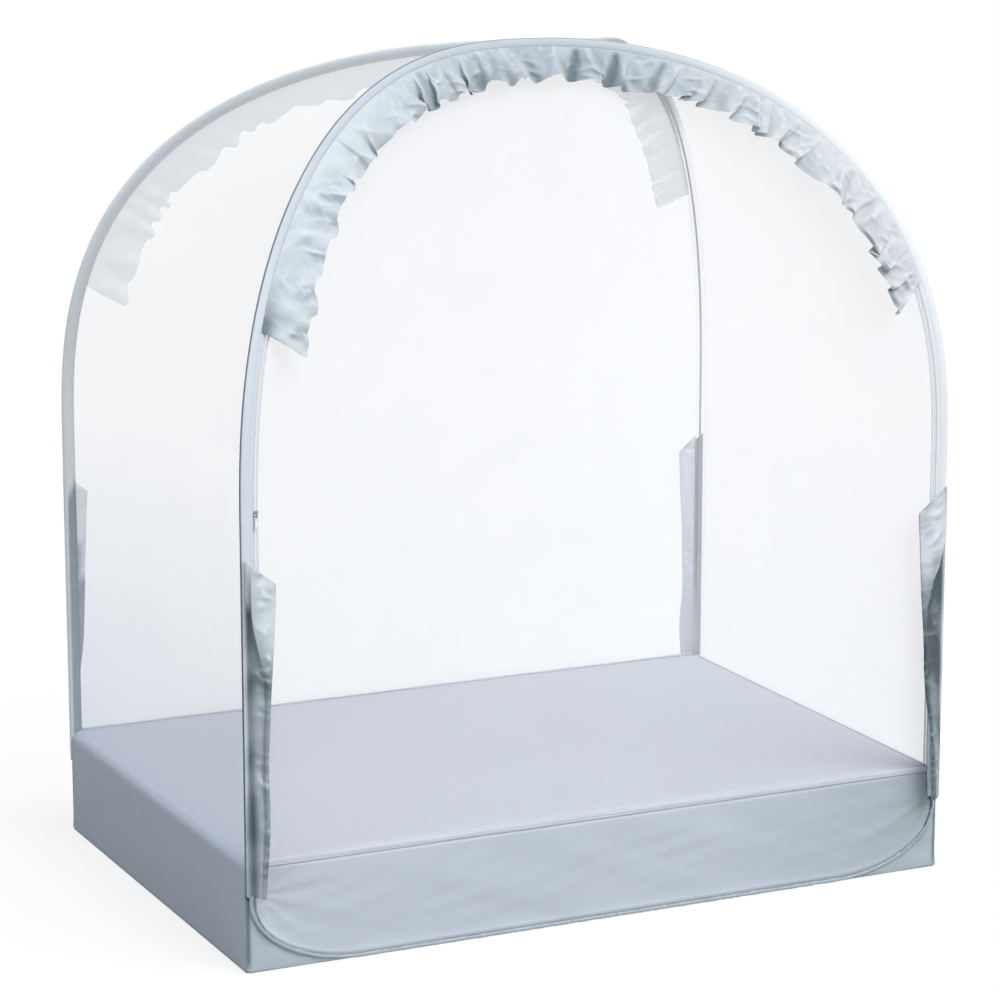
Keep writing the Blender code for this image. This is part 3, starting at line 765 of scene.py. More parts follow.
@dataclass(frozen=True)
class Sheet:
    """One sheet of cloth, with the solids that it stands for and the pieces that it rests on."""

    name: str
    points: np.ndarray
    finish: bpy.types.Material
    slot: str
    nodes: tuple[str, ...]
    rests_on: tuple[str, ...]
    held: str = "stretched"
    # How light each point is painted, for finishes with painted shade
    tone: np.ndarray | None = None
    cloth: float = 0.0008

    def drawn(self) -> bpy.types.Object:
        """Draw the sheet out and give it its thickness."""
        piece = grid_piece(self.name, self.points, tone=self.tone)
        modify(piece, "SOLIDIFY", thickness=self.cloth, offset=0.0)
        return piece

    def make(self) -> None:
        """Let the sheet ride on the tent in place of its solids, and say how it was cut."""
        piece = self.drawn()
        dress(piece, self.finish)
        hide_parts(*self.nodes)
        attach(piece, BODY)
        width, length = (
            float(np.linalg.norm(np.diff(self.points, axis=axis), axis=2).sum(axis=axis).max()) for axis in (0, 1)
        )
        area = min(max(flat_area(self.points), LEAST_AREA * width * length), width * length)
        LOG.info("%s: %.3f by %.3f m, %.3f square m", self.name, width, length, area)


class SoftSheet(Sheet):
    """A sheet whose folds are rounded."""

    def drawn(self) -> bpy.types.Object:
        """Draw the sheet out and smooth it."""
        piece = super().drawn()
        modify(piece, "SUBSURF", levels=1, render_levels=1)
        return piece


class FoldedTape(Sheet):
    """A folded tape with rounded edges."""

    def drawn(self) -> bpy.types.Object:
        """Draw the tape out and round its edges."""
        piece = super().drawn()
        modify(piece, "BEVEL", width=0.0004, segments=2)
        bpy.ops.object.shade_smooth()
        return piece


class Net(Sheet):
    """A single layer with a hem, which faces away from the middle of the tent."""

    def drawn(self) -> bpy.types.Object:
        """Draw the net out."""
        piece = grid_piece(self.name, self.points, rim=rim_of(self.points))
        face_away(piece)
        return piece


@dataclass(frozen=True)
class Tube(Sheet):
    """A sheet rolled up lengthways, with its thickness inside."""

    even: bool = False

    def drawn(self) -> bpy.types.Object:
        """Draw the tube out, close it and turn its faces outwards."""
        piece = grid_piece(self.name, self.points.transpose(1, 0, 2), tone=self.tone.T)
        with editing(piece):
            bpy.ops.mesh.remove_doubles(threshold=WELD_GAP)
            bpy.ops.mesh.normals_make_consistent(inside=False)
        modify(piece, "SOLIDIFY", thickness=self.cloth, offset=-1.0, use_even_offset=self.even)
        return piece


# ---- the tent's shape ----


@dataclass(frozen=True)
class TentSizes:
    """Sizes that the sub-assemblies share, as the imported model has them."""

    length: float = 1.50
    depth: float = 1.00
    height: float = 1.67
    base_height: float = 0.215
    seam_gap: float = 0.0003
    sleeve_width: float = 0.026
    sleeve_depth: float = 0.009
    sleeve_foot: float = 0.15
    arch_start: float = 0.86
    arch_power: float = 2.45
    lean_across_power: float = 1.6
    lean_rise_power: float = 1.1
    crown_y: float = -0.10
    crown_spacing: float = 0.022
    piping_radius: float = 0.00547
    corner_rise: float = 0.135
    corner_run: float = 0.22
    zip_width: float = 0.0102
    tape_height: float = 0.012
    slider_z: float = 0.87

    @property
    def hoop_plane(self) -> float:
        """Distance of an upright leg from the middle of the bed."""
        return self.depth / 2 - self.sleeve_depth / 2

    @property
    def half_arch(self) -> float:
        """Half the distance between the two legs of a hoop."""
        return self.length / 2 - self.sleeve_width / 2

    @property
    def half_clear(self) -> float:
        """Half the clear width between two legs' sleeves."""
        return self.half_arch - self.sleeve_width / 2 - self.seam_gap

    @property
    def net_foot(self) -> float:
        """Height at which the nets begin."""
        return self.base_height + self.seam_gap


SIZES = TentSizes()


class Hoop:
    """The centre line of one spring loop, with directions across and out of its band."""

    SAMPLES = 1600

    def __init__(self, end: End) -> None:
        """Work out the arch and its directions."""
        self.end = end
        side = end.value
        plane = SIZES.hoop_plane
        lean = plane - side * (SIZES.crown_y + side * SIZES.crown_spacing / 2)
        angle = np.linspace(math.pi, 0, self.SAMPLES)
        rate = 2 / SIZES.arch_power
        x = SIZES.half_arch * np.sign(np.cos(angle)) * np.abs(np.cos(angle)) ** rate
        crown = SIZES.height - SIZES.sleeve_width / 2
        z = SIZES.arch_start + (crown - SIZES.arch_start) * np.abs(np.sin(angle)) ** rate
        inward = np.clip(1 - (np.abs(x) / SIZES.half_arch) ** SIZES.lean_across_power, 0, None)
        centre = grid(x, side * (plane - lean * inward ** SIZES.lean_rise_power), z)
        place = run_along(centre)
        self.arch_length = float(place[-1])
        even = np.linspace(0, self.arch_length, self.SAMPLES)
        centre = resampled(even, place, centre)
        along = unit(np.gradient(centre, axis=0))
        along[0], along[-1] = (0, 0, 1), (0, 0, -1)
        tilt = np.arctan2(np.abs(centre[:, 1] - side * plane), centre[:, 2] - SIZES.net_foot)
        facing = grid(0 * tilt, side * np.cos(tilt), np.sin(tilt))
        facing = unit(facing - along * (facing * along).sum(1)[:, None])
        across = np.cross(facing, along) * -side
        leg = SIZES.arch_start
        left, right = (np.array([[hand.value * SIZES.half_arch, side * plane, 0.0]]) for hand in Hand)
        self.places = np.concatenate([[-leg], even, [self.arch_length + leg]])
        self.centre = np.concatenate([left, centre, right])
        self.across, self.facing = (np.concatenate([ways[:1], ways, ways[-1:]]) for ways in (across, facing))

    def at(self, place: np.ndarray, across: np.ndarray | float, facing: np.ndarray | float) -> np.ndarray:
        """Points beside the centre line.

        Args:
            place: Distance along the hoop from where the arch leaves the left leg.
            across: Distance outwards in the band's plane.
            facing: Distance out of the band's face.

        Returns:
            The points, in metres.
        """
        place, across, facing = np.broadcast_arrays(place, across, facing)
        centre, wide, out = (resampled(place, self.places, table) for table in (self.centre, self.across, self.facing))
        return centre + (wide * across[..., None] + out * facing[..., None])

    def span(self, foot: float) -> tuple[float, float]:
        """Places at which the legs pass this height, left and right."""
        reach = SIZES.arch_start - foot
        return -reach, self.arch_length + reach

    def rise(self, height: float) -> float:
        """Place at which the arch first reaches this height."""
        middle = len(self.places) // 2
        return float(np.interp(height, self.centre[1:middle, 2], self.places[1:middle]))

    def base_run(self, count: int, reach: float = 0.0) -> np.ndarray:
        """Points round the base from the left leg's foot to the right's.

        Args:
            count: Points on each corner.
            reach: How far outside the hoop they lie.

        Returns:
            Points in X and Z.
        """
        angle = np.linspace(0, math.pi / 2, count)
        x = -SIZES.half_arch + SIZES.corner_run * (1 - np.cos(angle))
        z = SIZES.piping_radius + SIZES.corner_rise * (1 - np.sin(angle))
        normal = unit(np.stack([-np.cos(angle) * SIZES.corner_rise, -np.sin(angle) * SIZES.corner_run], 1))
        left = np.stack([x, z], 1) + normal * reach
        return np.concatenate([left, left[::-1] * np.array([-1, 1])])


# ---- sub-assemblies ----


@dataclass
class HoopPart:
    """A sub-assembly of one long side, shaped by that side's hoop."""

    hoop: Hoop
    cloths: Cloths

    @property
    def side(self) -> int:
        """-1 in front and 1 behind."""
        return self.hoop.end.value

    @property
    def word(self) -> str:
        """The side's name."""
        return self.hoop.end.word


@dataclass
class ArchBand(HoopPart):
    """The cloth sleeve over one spring loop."""

    steps: int = 320
    around: int = 28
    wall: float = 0.0009
    bulge_middle: float = 0.002
    bulge_half: float = 0.0111
    bulge_depth: float = 0.0043
    selvage_depth: float = 0.0026
    seam_at: float = -0.0068
    seam_width: float = 0.0013
    # Painted shade: front crown and left; back left leg's inside, left foot, loose crown and inner edge
    top_shade: float = 0.44
    top: tuple[float, float] = (0.52, 0.20)
    side_shade: float = 0.22
    left: tuple[float, float] = (0.25, 0.12)
    loose_top: float = 0.012
    loose_at: float = 0.615
    loose_width: float = 0.03
    shaded_leg: float = 0.735
    leg_shade: float = 0.86
    foot_light: float = 0.65
    edge_shade: float = 0.12
    pucker: Wave = (0.020, 0.00028)
    slack: Wave = (0.16, 0.0003)

    def section(self) -> tuple[np.ndarray, np.ndarray]:
        """Outline of the sleeve, from its outer edge over its face and back.

        Returns:
            Distances across and out of the face.
        """
        turn = np.linspace(0, 2 * math.pi, self.around + 1)
        half = SIZES.sleeve_width / 2
        across = half * np.sign(np.cos(turn)) * np.abs(np.cos(turn)) ** 0.8
        bulge = self.bulge_depth * np.sqrt(np.clip(1 - ((across - self.bulge_middle) / self.bulge_half) ** 2, 0, None))
        hem = self.selvage_depth * np.clip(1 - (across / half) ** 8, 0, None) ** 0.5
        depth = np.maximum(bulge, hem) * (1 - 0.35 * bell(across, self.seam_at, self.seam_width))
        return across, depth * np.sign(np.sin(turn)) * (np.abs(np.sin(turn)) > 1e-6)

    def looseness(self, place: np.ndarray) -> np.ndarray:
        """How far the back sleeve stands up off its wire, just right of the crown."""
        stands = self.loose_top if self.hoop.end is End.BACK else 0.0
        return stands * bell(place / self.hoop.arch_length, self.loose_at, self.loose_width)

    def tones(self, place: np.ndarray, across: np.ndarray) -> np.ndarray:
        """How light the sleeve is painted: painted shade at the crown, and inside the back left leg.

        Args:
            place: Distance along the hoop.
            across: Distance out of its centre line.

        Returns:
            The lightness at each point.
        """
        share = place / self.hoop.arch_length
        if self.hoop.end is End.FRONT:
            crown = self.top_shade * bell(share, *self.top)
            return 1 - crown - self.side_shade * bell(share, *self.left) + 0 * across
        height = SIZES.arch_start + place
        low = eased(height + across * 2, self.shaded_leg, -0.03) * (place < 0)
        inside = eased(across, 0.0075, -0.003)
        crown = self.looseness(place) / self.loose_top
        grown = self.foot_light + (1 - self.foot_light) * eased(share, 0.05, 0.18)
        edge = self.edge_shade * eased(across, -0.0085, -0.002)
        return grown * (1 - self.leg_shade * low * inside) - 0.5 * crown - edge

    def build(self) -> None:
        """Make the sleeve, lightly puckered along its seam."""
        low, high = self.hoop.span(SIZES.sleeve_foot)
        place = np.linspace(low, high, self.steps)[:, None]
        across, depth = (line[None] for line in self.section())
        pucker = Ripple(11 + self.side, *self.pucker).over(place, across * 0.6)
        slack = Ripple(21 + self.side, *self.slack).over(place, across)
        facing = depth + depth / self.bulge_depth * (pucker + slack)
        wider = self.looseness(place) * np.clip(across / (SIZES.sleeve_width / 2), 0, 1)
        Tube(
            f"{self.word}_arch_sleeve", self.hoop.at(place, across + slack * 0.3 + wider, facing),
            self.cloths.band[self.hoop.end], "sleeve_cloth",
            tuple(f"{self.word}_{part}sleeve" for part in ("", "left_leg_", "right_leg_")),
            (f"{self.word}_hoop_wire",), tone=self.tones(place, across), cloth=self.wall, even=True,
        ).make()


@dataclass
class Frill(HoopPart):
    """The gathered strip sewn along an arch."""

    # Least and greatest height, tuck, lean, droop, curl and drift of a pleat, in the order of their draws
    PLEAT_LIMITS: ClassVar = ((0.15, 1.35), (0.25, 1.65), (-0.55, 0.55), (-1.0, 1.0), (-0.6, 1.0), (-0.12, 0.12))

    seed: int
    crispness: float = 1.0
    pleats: int = 33
    per_pleat: int = 16
    rows: int = 21
    start_z: tuple[float, float] = (1.20, 1.20)
    left_fullness: float = 0.0
    hollows: tuple[tuple[float, float], ...] = ()
    curls: tuple[float, ...] = ()
    curl_width: float = 0.0052
    slant: float = 0.040
    end_depth: float = 0.086
    top_depth: float = 0.072
    lap: float = 0.0085
    seat: float = 0.0036
    stand: float = 0.012
    pleat_height: float = 0.0155
    crown: tuple[float, float] = (0.52, 0.20)
    hem_roll: float = 0.006
    end_rate: float = 14.0
    stagger: float = 0.010
    hollow_depth: float = 0.85
    curl_height: float = 0.004
    # Painted shade in valleys, the end pocket, the crown, hollows and curls; painted light on crumples and facets
    valley_shade: float = 0.50
    valley_relief: float = 0.25
    pocket_shade: float = 1.1
    crown_shade: float = 0.30
    hollow_shade: float = 0.75
    curl_shade: float = 0.85
    crushed_light: float = 35.0
    facet_light: float = 20.0
    broad: Wave = (0.055, 0.0030, 1.3)
    crushed: Wave = (0.026, 0.0150)
    facets: Wave = (0.075, 0.0130)
    cloth: float = 0.0006

    def knots(self, choice: np.random.Generator, turn: np.ndarray, low: float, high: float) -> np.ndarray:
        """A value that changes from pleat to pleat.

        Args:
            choice: Where the values come from.
            turn: Pleats passed at each column.
            low: Least value.
            high: Greatest value.

        Returns:
            The value at each column.
        """
        places = np.arange(-1, self.pleats + 2)
        return np.interp(turn, places, choice.uniform(low, high, len(places)))

    def points(self) -> tuple[np.ndarray, np.ndarray]:
        """The gathered strip.

        Returns:
            Its grid of points, and how light each of them is painted.
        """
        # What changes from pleat to pleat
        choice = np.random.default_rng(self.seed)
        marks = np.concatenate([[0.0], np.cumsum(choice.uniform(0.45, 1.7, self.pleats))])
        turn = np.arange(self.pleats * self.per_pleat + 1) / self.per_pleat
        share = np.interp(turn, np.arange(self.pleats + 1), marks / marks[-1])
        tall, tuck, lean, droop, curl, drift = (self.knots(choice, turn, *limits) for limits in self.PLEAT_LIMITS)
        crown = bell(share, *self.crown)
        tall = tall * (1 + 0.8 * crown)
        tuck = tuck * self.crispness * (1 + 0.3 * crown) * (0.42 + 0.58 * eased(share, 0.22, 0.25))
        lean = lean * self.crispness ** 2.3
        # Where each column runs along the arch, and how it slants
        begin = self.hoop.rise(self.start_z[0])
        span = self.hoop.arch_length - begin - self.hoop.rise(self.start_z[1])
        width = span / self.pleats
        down = np.linspace(0, 1, self.rows)[:, None]
        phase = 2 * math.pi * (turn + drift * np.sin(down * math.pi))
        fold = np.sin(phase)
        grown = down ** 0.8
        slide = width * (0.06 + 0.19 * grown) * tuck * fold * -np.tanh((share - 0.5) * self.end_rate)
        slide = slide + width * lean * down ** 1.5
        ends = np.exp(-share * self.end_rate) - 0.4 * np.exp((share - 1) * self.end_rate)
        slide = slide - self.slant * down * ends
        place = begin + span * share + slide
        # How far down it hangs
        depth = self.top_depth + (self.end_depth - self.top_depth) * np.abs(2 * share - 1) ** 3
        depth = depth * (1 + self.left_fullness * (1 - 2 * share))
        stepped = self.stagger * (turn % 1 - 0.5) * eased(share, 0.5, -0.2) * self.crispness
        cloth = (depth * (1 + 0.10 * droop) - stepped + 0.005 * fold * tuck) * down
        across = -(SIZES.sleeve_width / 2 - self.lap) - cloth * (1 - 0.04 * curl * down)
        # How far it stands off the sleeve: pleats, rolled hem, crumples, hollows and curls
        height = self.pleat_height * grown * tall * (0.5 - 0.42 * fold - 0.10 * np.sin(2 * phase))
        rolled = self.hem_roll * np.clip((down - 0.75) / 0.25, 0, 1) ** 2 * curl
        body = np.sin(down * math.pi / 2)
        broad = Ripple(self.seed + 5, *self.broad).over(place, cloth)
        crushed = Crumple(self.seed + 6, *self.crushed).over(place, cloth) * self.crispness
        crushed = crushed * (0.55 + 0.45 * eased(share, 0.25, 0.15))
        facets = Crumple(self.seed + 8, *self.facets).over(place, cloth) * self.crispness
        facets = facets * eased(share, 0.76, -0.2)
        sway = share + 0.0030 * np.sin(2.6 * down + 9 * share) - 0.0022 * down
        breadth = 0.0026 + 0.0022 * down
        hollow = sum((deepest * bell(sway, at, breadth) for at, deepest in self.hollows), 0 * sway)
        curled = sum((bell(share, at, self.curl_width) for at in self.curls), 0 * share)
        curled = curled * eased(down, 0.84, 0.07)
        loose = (broad + crushed + facets) * np.clip(body * 1.2, 0, 1)
        off = (self.stand * body + height + rolled + loose) * (1 - self.hollow_depth * hollow)
        off = off + self.curl_height * curled
        facing = self.seat + np.maximum(off, 0.0010 * down)
        # Painted lightness: painted shade in the valleys, the left end's pocket, the crown, the hollows and the curls,
        # and painted light and shade on the crumples and facets
        valley = np.clip(0.62 - height / self.pleat_height, 0, 1) * grown
        pocket = np.exp(-(share / 0.028) ** 1.5) * bell(down, 0.05, 0.20)
        dim = self.valley_shade - self.valley_relief * eased(share, 0.48, -0.15)
        tone = 1 - dim * valley - self.pocket_shade * pocket - self.crown_shade * crown
        tone = tone + crushed * self.crushed_light + facets * self.facet_light
        tone = tone - self.hollow_shade * hollow * eased(down, 0, 0.15) - self.curl_shade * curled
        return self.hoop.at(place, across, facing), tone

    def build(self) -> None:
        """Make the frill."""
        points, tone = self.points()
        SoftSheet(
            f"{self.word}_frill", points, self.cloths.frill[self.hoop.end], "sleeve_cloth",
            (f"{self.word}_valance",), (f"{self.word}_arch_sleeve",), "gathered", tone, self.cloth,
        ).make()


@dataclass
class EndNet(HoopPart):
    """The net that closes one long side."""

    reach: float
    columns: int = 121
    rows: int = 61
    sag: float = 0.007
    slack: Wave = (0.34, 0.0022, 3.0)

    def build(self) -> None:
        """Make the net, drawn a little slack between the base and its arch."""
        top = self.hoop.at(np.linspace(0, self.hoop.arch_length, self.columns), -self.reach, 0.0)
        foot = grid(top[:, 0], self.side * SIZES.hoop_plane, SIZES.net_foot)
        up = np.linspace(0, 1, self.rows)[:, None, None]
        points = foot * (1 - up) + top * up
        loose = np.sin(up[..., 0] * math.pi) * (1 - (points[..., 0] / SIZES.half_arch) ** 2)
        fold = Ripple(31 + self.side, *self.slack).over(points[..., 0], points[..., 2])
        points[..., 1] += loose * (fold - self.side * self.sag)
        Net(
            f"{self.word}_end_net", points, self.cloths.net, "netting",
            (f"{self.word}_net",), (f"{self.word}_arch_sleeve", f"{self.word}_top_tape"),
        ).make()


@dataclass
class SideNet:
    """The net between the two arches on one side, from the base to the crown."""

    front: Hoop
    back: Hoop
    cloths: Cloths
    hand: Hand
    columns: int = 121
    rows: int = 41
    under_tape: float = 0.0118
    lift: float = 0.0087
    inset: float = 0.0051
    sag: float = 0.016
    slack: Wave = (0.36, 0.0020, 2.5)

    def edge(self, hoop: Hoop) -> np.ndarray:
        """The net's edge along one sleeve, from its foot to the crown."""
        low = hoop.span(SIZES.net_foot - self.under_tape)[0]
        place = np.linspace(low, hoop.arch_length / 2, self.columns)
        if self.hand is Hand.RIGHT:
            place = hoop.arch_length - place
        points = hoop.at(place, self.lift, -self.inset)
        points[:, 0] += self.hand.value * SIZES.seam_gap / 2
        return points

    def build(self) -> None:
        """Make the net, pulled in between the arches."""
        first, last = self.edge(self.front), self.edge(self.back)
        over = np.linspace(0, 1, self.rows)[:, None, None]
        points = first * (1 - over) + last * over
        rise = eased(points[..., 2], SIZES.net_foot, 0.5)
        width = np.linalg.norm(last - first, axis=1) / SIZES.depth
        fold = Ripple(41 + self.hand.value, *self.slack).over(points[..., 1], points[..., 2])
        pulled = np.sin(over[..., 0] * math.pi) * rise * width * (self.sag + fold)
        normal = np.cross(np.gradient(points, axis=1), (last - first)[None])
        normal /= np.linalg.norm(normal, axis=2)[..., None] + 1e-12
        normal *= np.sign((normal * (np.array(MIDDLE) - points)).sum(axis=2))[..., None]
        Net(
            f"{self.hand.word}_wall_net", points + normal * pulled[..., None], self.cloths.wall_net[self.hand],
            "netting", (f"{self.hand.word}_side_net",), ("front_arch_sleeve", "back_arch_sleeve"),
        ).make()


@dataclass
class EndBase(HoopPart):
    """Skirt, top tape, piping and two corner gussets of one long side."""

    columns: int = 181
    rows: int = 25
    cloth: float = 0.0010
    swell: float = 0.0028
    puckers: tuple[tuple[float, ...], ...] = ((12, 1, 0.12, 0.0018), (27, 2, 0.08, 0.0012))
    crowding: float = 0.35
    under_leg: float = 0.0075
    piping_lap: float = 0.0046
    tape_cloth: float = 0.0018
    tape_stand: float = 0.0004
    tape_swell: float = 0.0006
    piping_wall: float = 0.0009
    # Painted lightness of the piping's top side
    piping_light: float = 0.86
    ground_gap: float = 0.0001
    gusset_margin: float = 0.0012
    gusset_inset: float = 0.0018
    gusset_swell: float = 0.0012
    gusset_tuck: float = 0.004
    gusset_steps: int = 41
    gusset_split: float = 0.36
    fold: Wave = (0.20, 0.0011, 0.6)
    drape: Wave = (0.07, 0.0005, 0.5)
    tape_bow: Wave = (0.12, 0.0005)
    piping_bumps: Wave = (0.022, 0.00045)
    # Uneven edge of the painted shade under the piping
    piping_shade: Wave = (0.016, 0.16)
    gusset_fold: Wave = (0.07, 0.0009)

    def skirt(self) -> None:
        """Make the skirt, a little full, with puckers that run in from its corners."""
        edge = SIZES.half_clear
        lower = self.hoop.base_run(80, -(SIZES.piping_radius + SIZES.seam_gap) * 0.6)
        turn = np.linspace(-1, 1, self.columns)
        x = edge * np.sin(turn * math.pi / 2) * self.crowding + edge * turn * (1 - self.crowding)
        foot = np.interp(x, lower[:, 0], lower[:, 1])
        top = SIZES.base_height - SIZES.tape_height - SIZES.seam_gap
        up = np.linspace(0, 1, self.rows)[:, None]
        z = foot * (1 - up) + top * up
        below = eased(z, SIZES.sleeve_foot - 0.001, -0.003)
        x = x + np.sign(x) * self.under_leg * eased(np.abs(x), edge - 0.02, 0.02) * below
        full = np.sin(up * math.pi) ** 0.7 * np.clip((top - foot) / top, 0, 1)
        inwards = np.maximum(edge - np.abs(x), 0.0)
        corner = np.hypot(inwards, (z - SIZES.sleeve_foot) * 1.5)
        bearing = np.arctan2(z - SIZES.sleeve_foot, inwards)
        pucker = sum(
            np.sin(bearing * folds + start * np.sign(x)) * np.exp(-corner / reach) * height
            for folds, start, reach, height in self.puckers
        )
        fold = Ripple(51 + self.side, *self.fold).over(x, z)
        drape = Ripple(57 + self.side, *self.drape).over(x, z)
        out = full * (self.swell + fold + drape + pucker) + self.piping_lap * np.exp(-(z - foot) / 0.008)
        Sheet(
            f"{self.word}_base_skirt", grid(x, self.side * (SIZES.hoop_plane - 0.0005 + out), z),
            self.cloths.skirt, "skirt_cloth", (f"{self.word}_skirt",),
            (f"{self.word}_base_cord", f"{self.word}_top_tape"), cloth=self.cloth,
        ).make()

    def tape(self) -> None:
        """Make the folded tape that joins net and skirt."""
        x = np.linspace(-SIZES.half_clear, SIZES.half_clear, self.columns)
        up = np.linspace(0, 1, 9)[:, None]
        bow = Ripple(61 + self.side, *self.tape_bow).over(x, up)
        y = self.side * (SIZES.hoop_plane + self.tape_stand + bow * 0.8 + self.tape_swell * np.sin(up * math.pi))
        FoldedTape(
            f"{self.word}_top_tape", grid(x, y, SIZES.base_height - SIZES.tape_height + SIZES.tape_height * up),
            self.cloths.tape, "sleeve_cloth", (f"{self.word}_seam_tape",), (f"{self.word}_base_skirt",),
            cloth=self.tape_cloth,
        ).make()

    def piping(self) -> None:
        """Make the soft tube of cloth round the base that carries the wire."""
        foot = SIZES.sleeve_foot - SIZES.seam_gap
        left, right = (np.array([[hand.value * SIZES.half_arch, foot]]) for hand in Hand)
        line = np.concatenate([left, self.hoop.base_run(26), right])
        steps = run_along(line)
        place = np.linspace(0, steps[-1], 300)
        line = resampled(place, steps, line)
        along = unit(np.gradient(line, axis=0))
        turn = np.linspace(0, 2 * math.pi, 17)
        soft = Ripple(71 + self.side, *self.piping_bumps).over(place[:, None], turn * 0.004)
        radius = SIZES.piping_radius - self.ground_gap + soft
        x = line[:, :1] - along[:, 1:] * np.cos(turn) * radius
        z = np.maximum(line[:, 1:] + along[:, :1] * np.cos(turn) * radius, self.ground_gap)
        # Painted shade on the piping's underside, deeper where it rises at the corners, with an uneven edge
        under = eased(np.cos(turn), -0.15, 0.7)
        steep = eased(line[:, 1:], 0.004, 0.10)
        ragged_shade = Ripple(75 + self.side, *self.piping_shade).over(place[:, None], turn * 0.006)
        Tube(
            f"{self.word}_base_cord", grid(x, self.side * (SIZES.hoop_plane + np.sin(turn) * radius), z),
            self.cloths.cord, "sleeve_cloth", (f"{self.word}_base_piping",), (f"{self.word}_hoop_wire",),
            tone=self.piping_light - under * (0.15 + 0.7 * steep + ragged_shade), cloth=self.piping_wall,
        ).make()

    def gusset(self, hand: Hand) -> None:
        """Make the corner piece outside the piping.

        Args:
            hand: The side that it is on.
        """
        inner = self.hoop.base_run(self.gusset_steps, SIZES.piping_radius * 0.55)[:self.gusset_steps]
        inner[:, 1] = np.maximum(inner[:, 1], 0.0008)
        corner = np.array([-SIZES.length / 2 + self.gusset_margin, 0.0004])
        top = np.array([corner[0], SIZES.sleeve_foot - self.gusset_margin])
        far = np.array([inner[-1, 0], corner[1]])
        share = np.linspace(0, 1, self.gusset_steps)[:, None]
        split = self.gusset_split
        down = top + (corner - top) * share / split
        outer = np.where(share < split, down, corner + (far - corner) * (share - split) / (1 - split))
        up = np.linspace(0, 1, 15)[:, None, None]
        flat = inner * (1 - up) + outer * up
        up = up[..., 0]
        wide, tall = flat[..., 0], flat[..., 1]
        tucked = np.exp(-(wide - corner[0]) / 0.008) * eased(tall, 0, 0.03)
        fold = Ripple(81 + self.side + 3 * hand.value, *self.gusset_fold).over(wide, tall)
        belly = np.sin(up * math.pi)
        out = belly * self.gusset_swell + fold * belly - self.gusset_tuck * tucked
        y = self.side * (SIZES.hoop_plane - self.gusset_inset + out)
        # Painted shade beside the piping and along the outer edge of the corner
        beside = np.exp(-up * 9) * eased(tall, 0.012, 0.08)
        groove_shade = bell(wide - corner[0], 0.0045, 0.0045) * eased(tall, 0, 0.02)
        word = f"{self.word}_{hand.word}"
        Sheet(
            f"{word}_corner_cloth", grid(wide * -hand.value, y, tall), self.cloths.gusset, "skirt_cloth",
            (f"{word}_gusset",), (f"{self.word}_base_cord",), tone=1 - 0.85 * beside - 0.9 * groove_shade, cloth=self.cloth,
        ).make()

    def build(self) -> None:
        """Make all of this side's base."""
        self.piping()
        self.skirt()
        self.tape()
        for hand in Hand:
            self.gusset(hand)


@dataclass
class SideBase:
    """The skirt of one short side, drawn over the mattress's edge."""

    cloths: Cloths
    hand: Hand
    columns: int = 121
    straight_rows: int = 26
    bent_rows: int = 15
    plane: float = 0.748
    foot: float = 0.0006
    swell: float = 0.0006
    edge_radius: float = 0.0262
    top_gap: float = 0.0014
    wrap: float = 1.45
    fold: Wave = (0.22, 0.0013, 0.7)
    drape: Wave = (0.06, 0.0005, 0.7)

    def build(self) -> None:
        """Make the skirt."""
        half = SIZES.hoop_plane - SIZES.sleeve_depth / 2 - SIZES.seam_gap
        y = np.linspace(-half, half, self.columns)[None]
        turn_z = SIZES.base_height - self.top_gap - self.edge_radius
        straight = np.linspace(self.foot, turn_z, self.straight_rows)
        bend = np.linspace(0, self.wrap, self.bent_rows)[1:]
        x = np.concatenate([0 * straight + self.plane, self.plane - self.edge_radius * (1 - np.cos(bend))])[:, None]
        z = np.concatenate([straight, turn_z + self.edge_radius * np.sin(bend)])[:, None]
        loose = np.sin(np.clip(z / turn_z, 0, 1) * math.pi) ** 0.8 * (1 - (y / half) ** 6)
        fold = Ripple(91 + self.hand.value, *self.fold).over(y, z)
        small = Ripple(97 + self.hand.value, *self.drape).over(y, z)
        x = x + loose * (self.swell + fold + small)
        # Painted shade on the wall, giving way to the cover's own light colour over the mattress's edge
        tone = eased(z + 0 * y, turn_z + 0.004, self.edge_radius * 0.85)
        word = self.hand.word
        Sheet(
            f"{word}_base_skirt", grid(self.hand.value * x, y, z), self.cloths.wrap, "skirt_cloth",
            (f"{word}_skirt", f"{word}_seam_tape"), ("mattress_pad",), tone=tone,
        ).make()


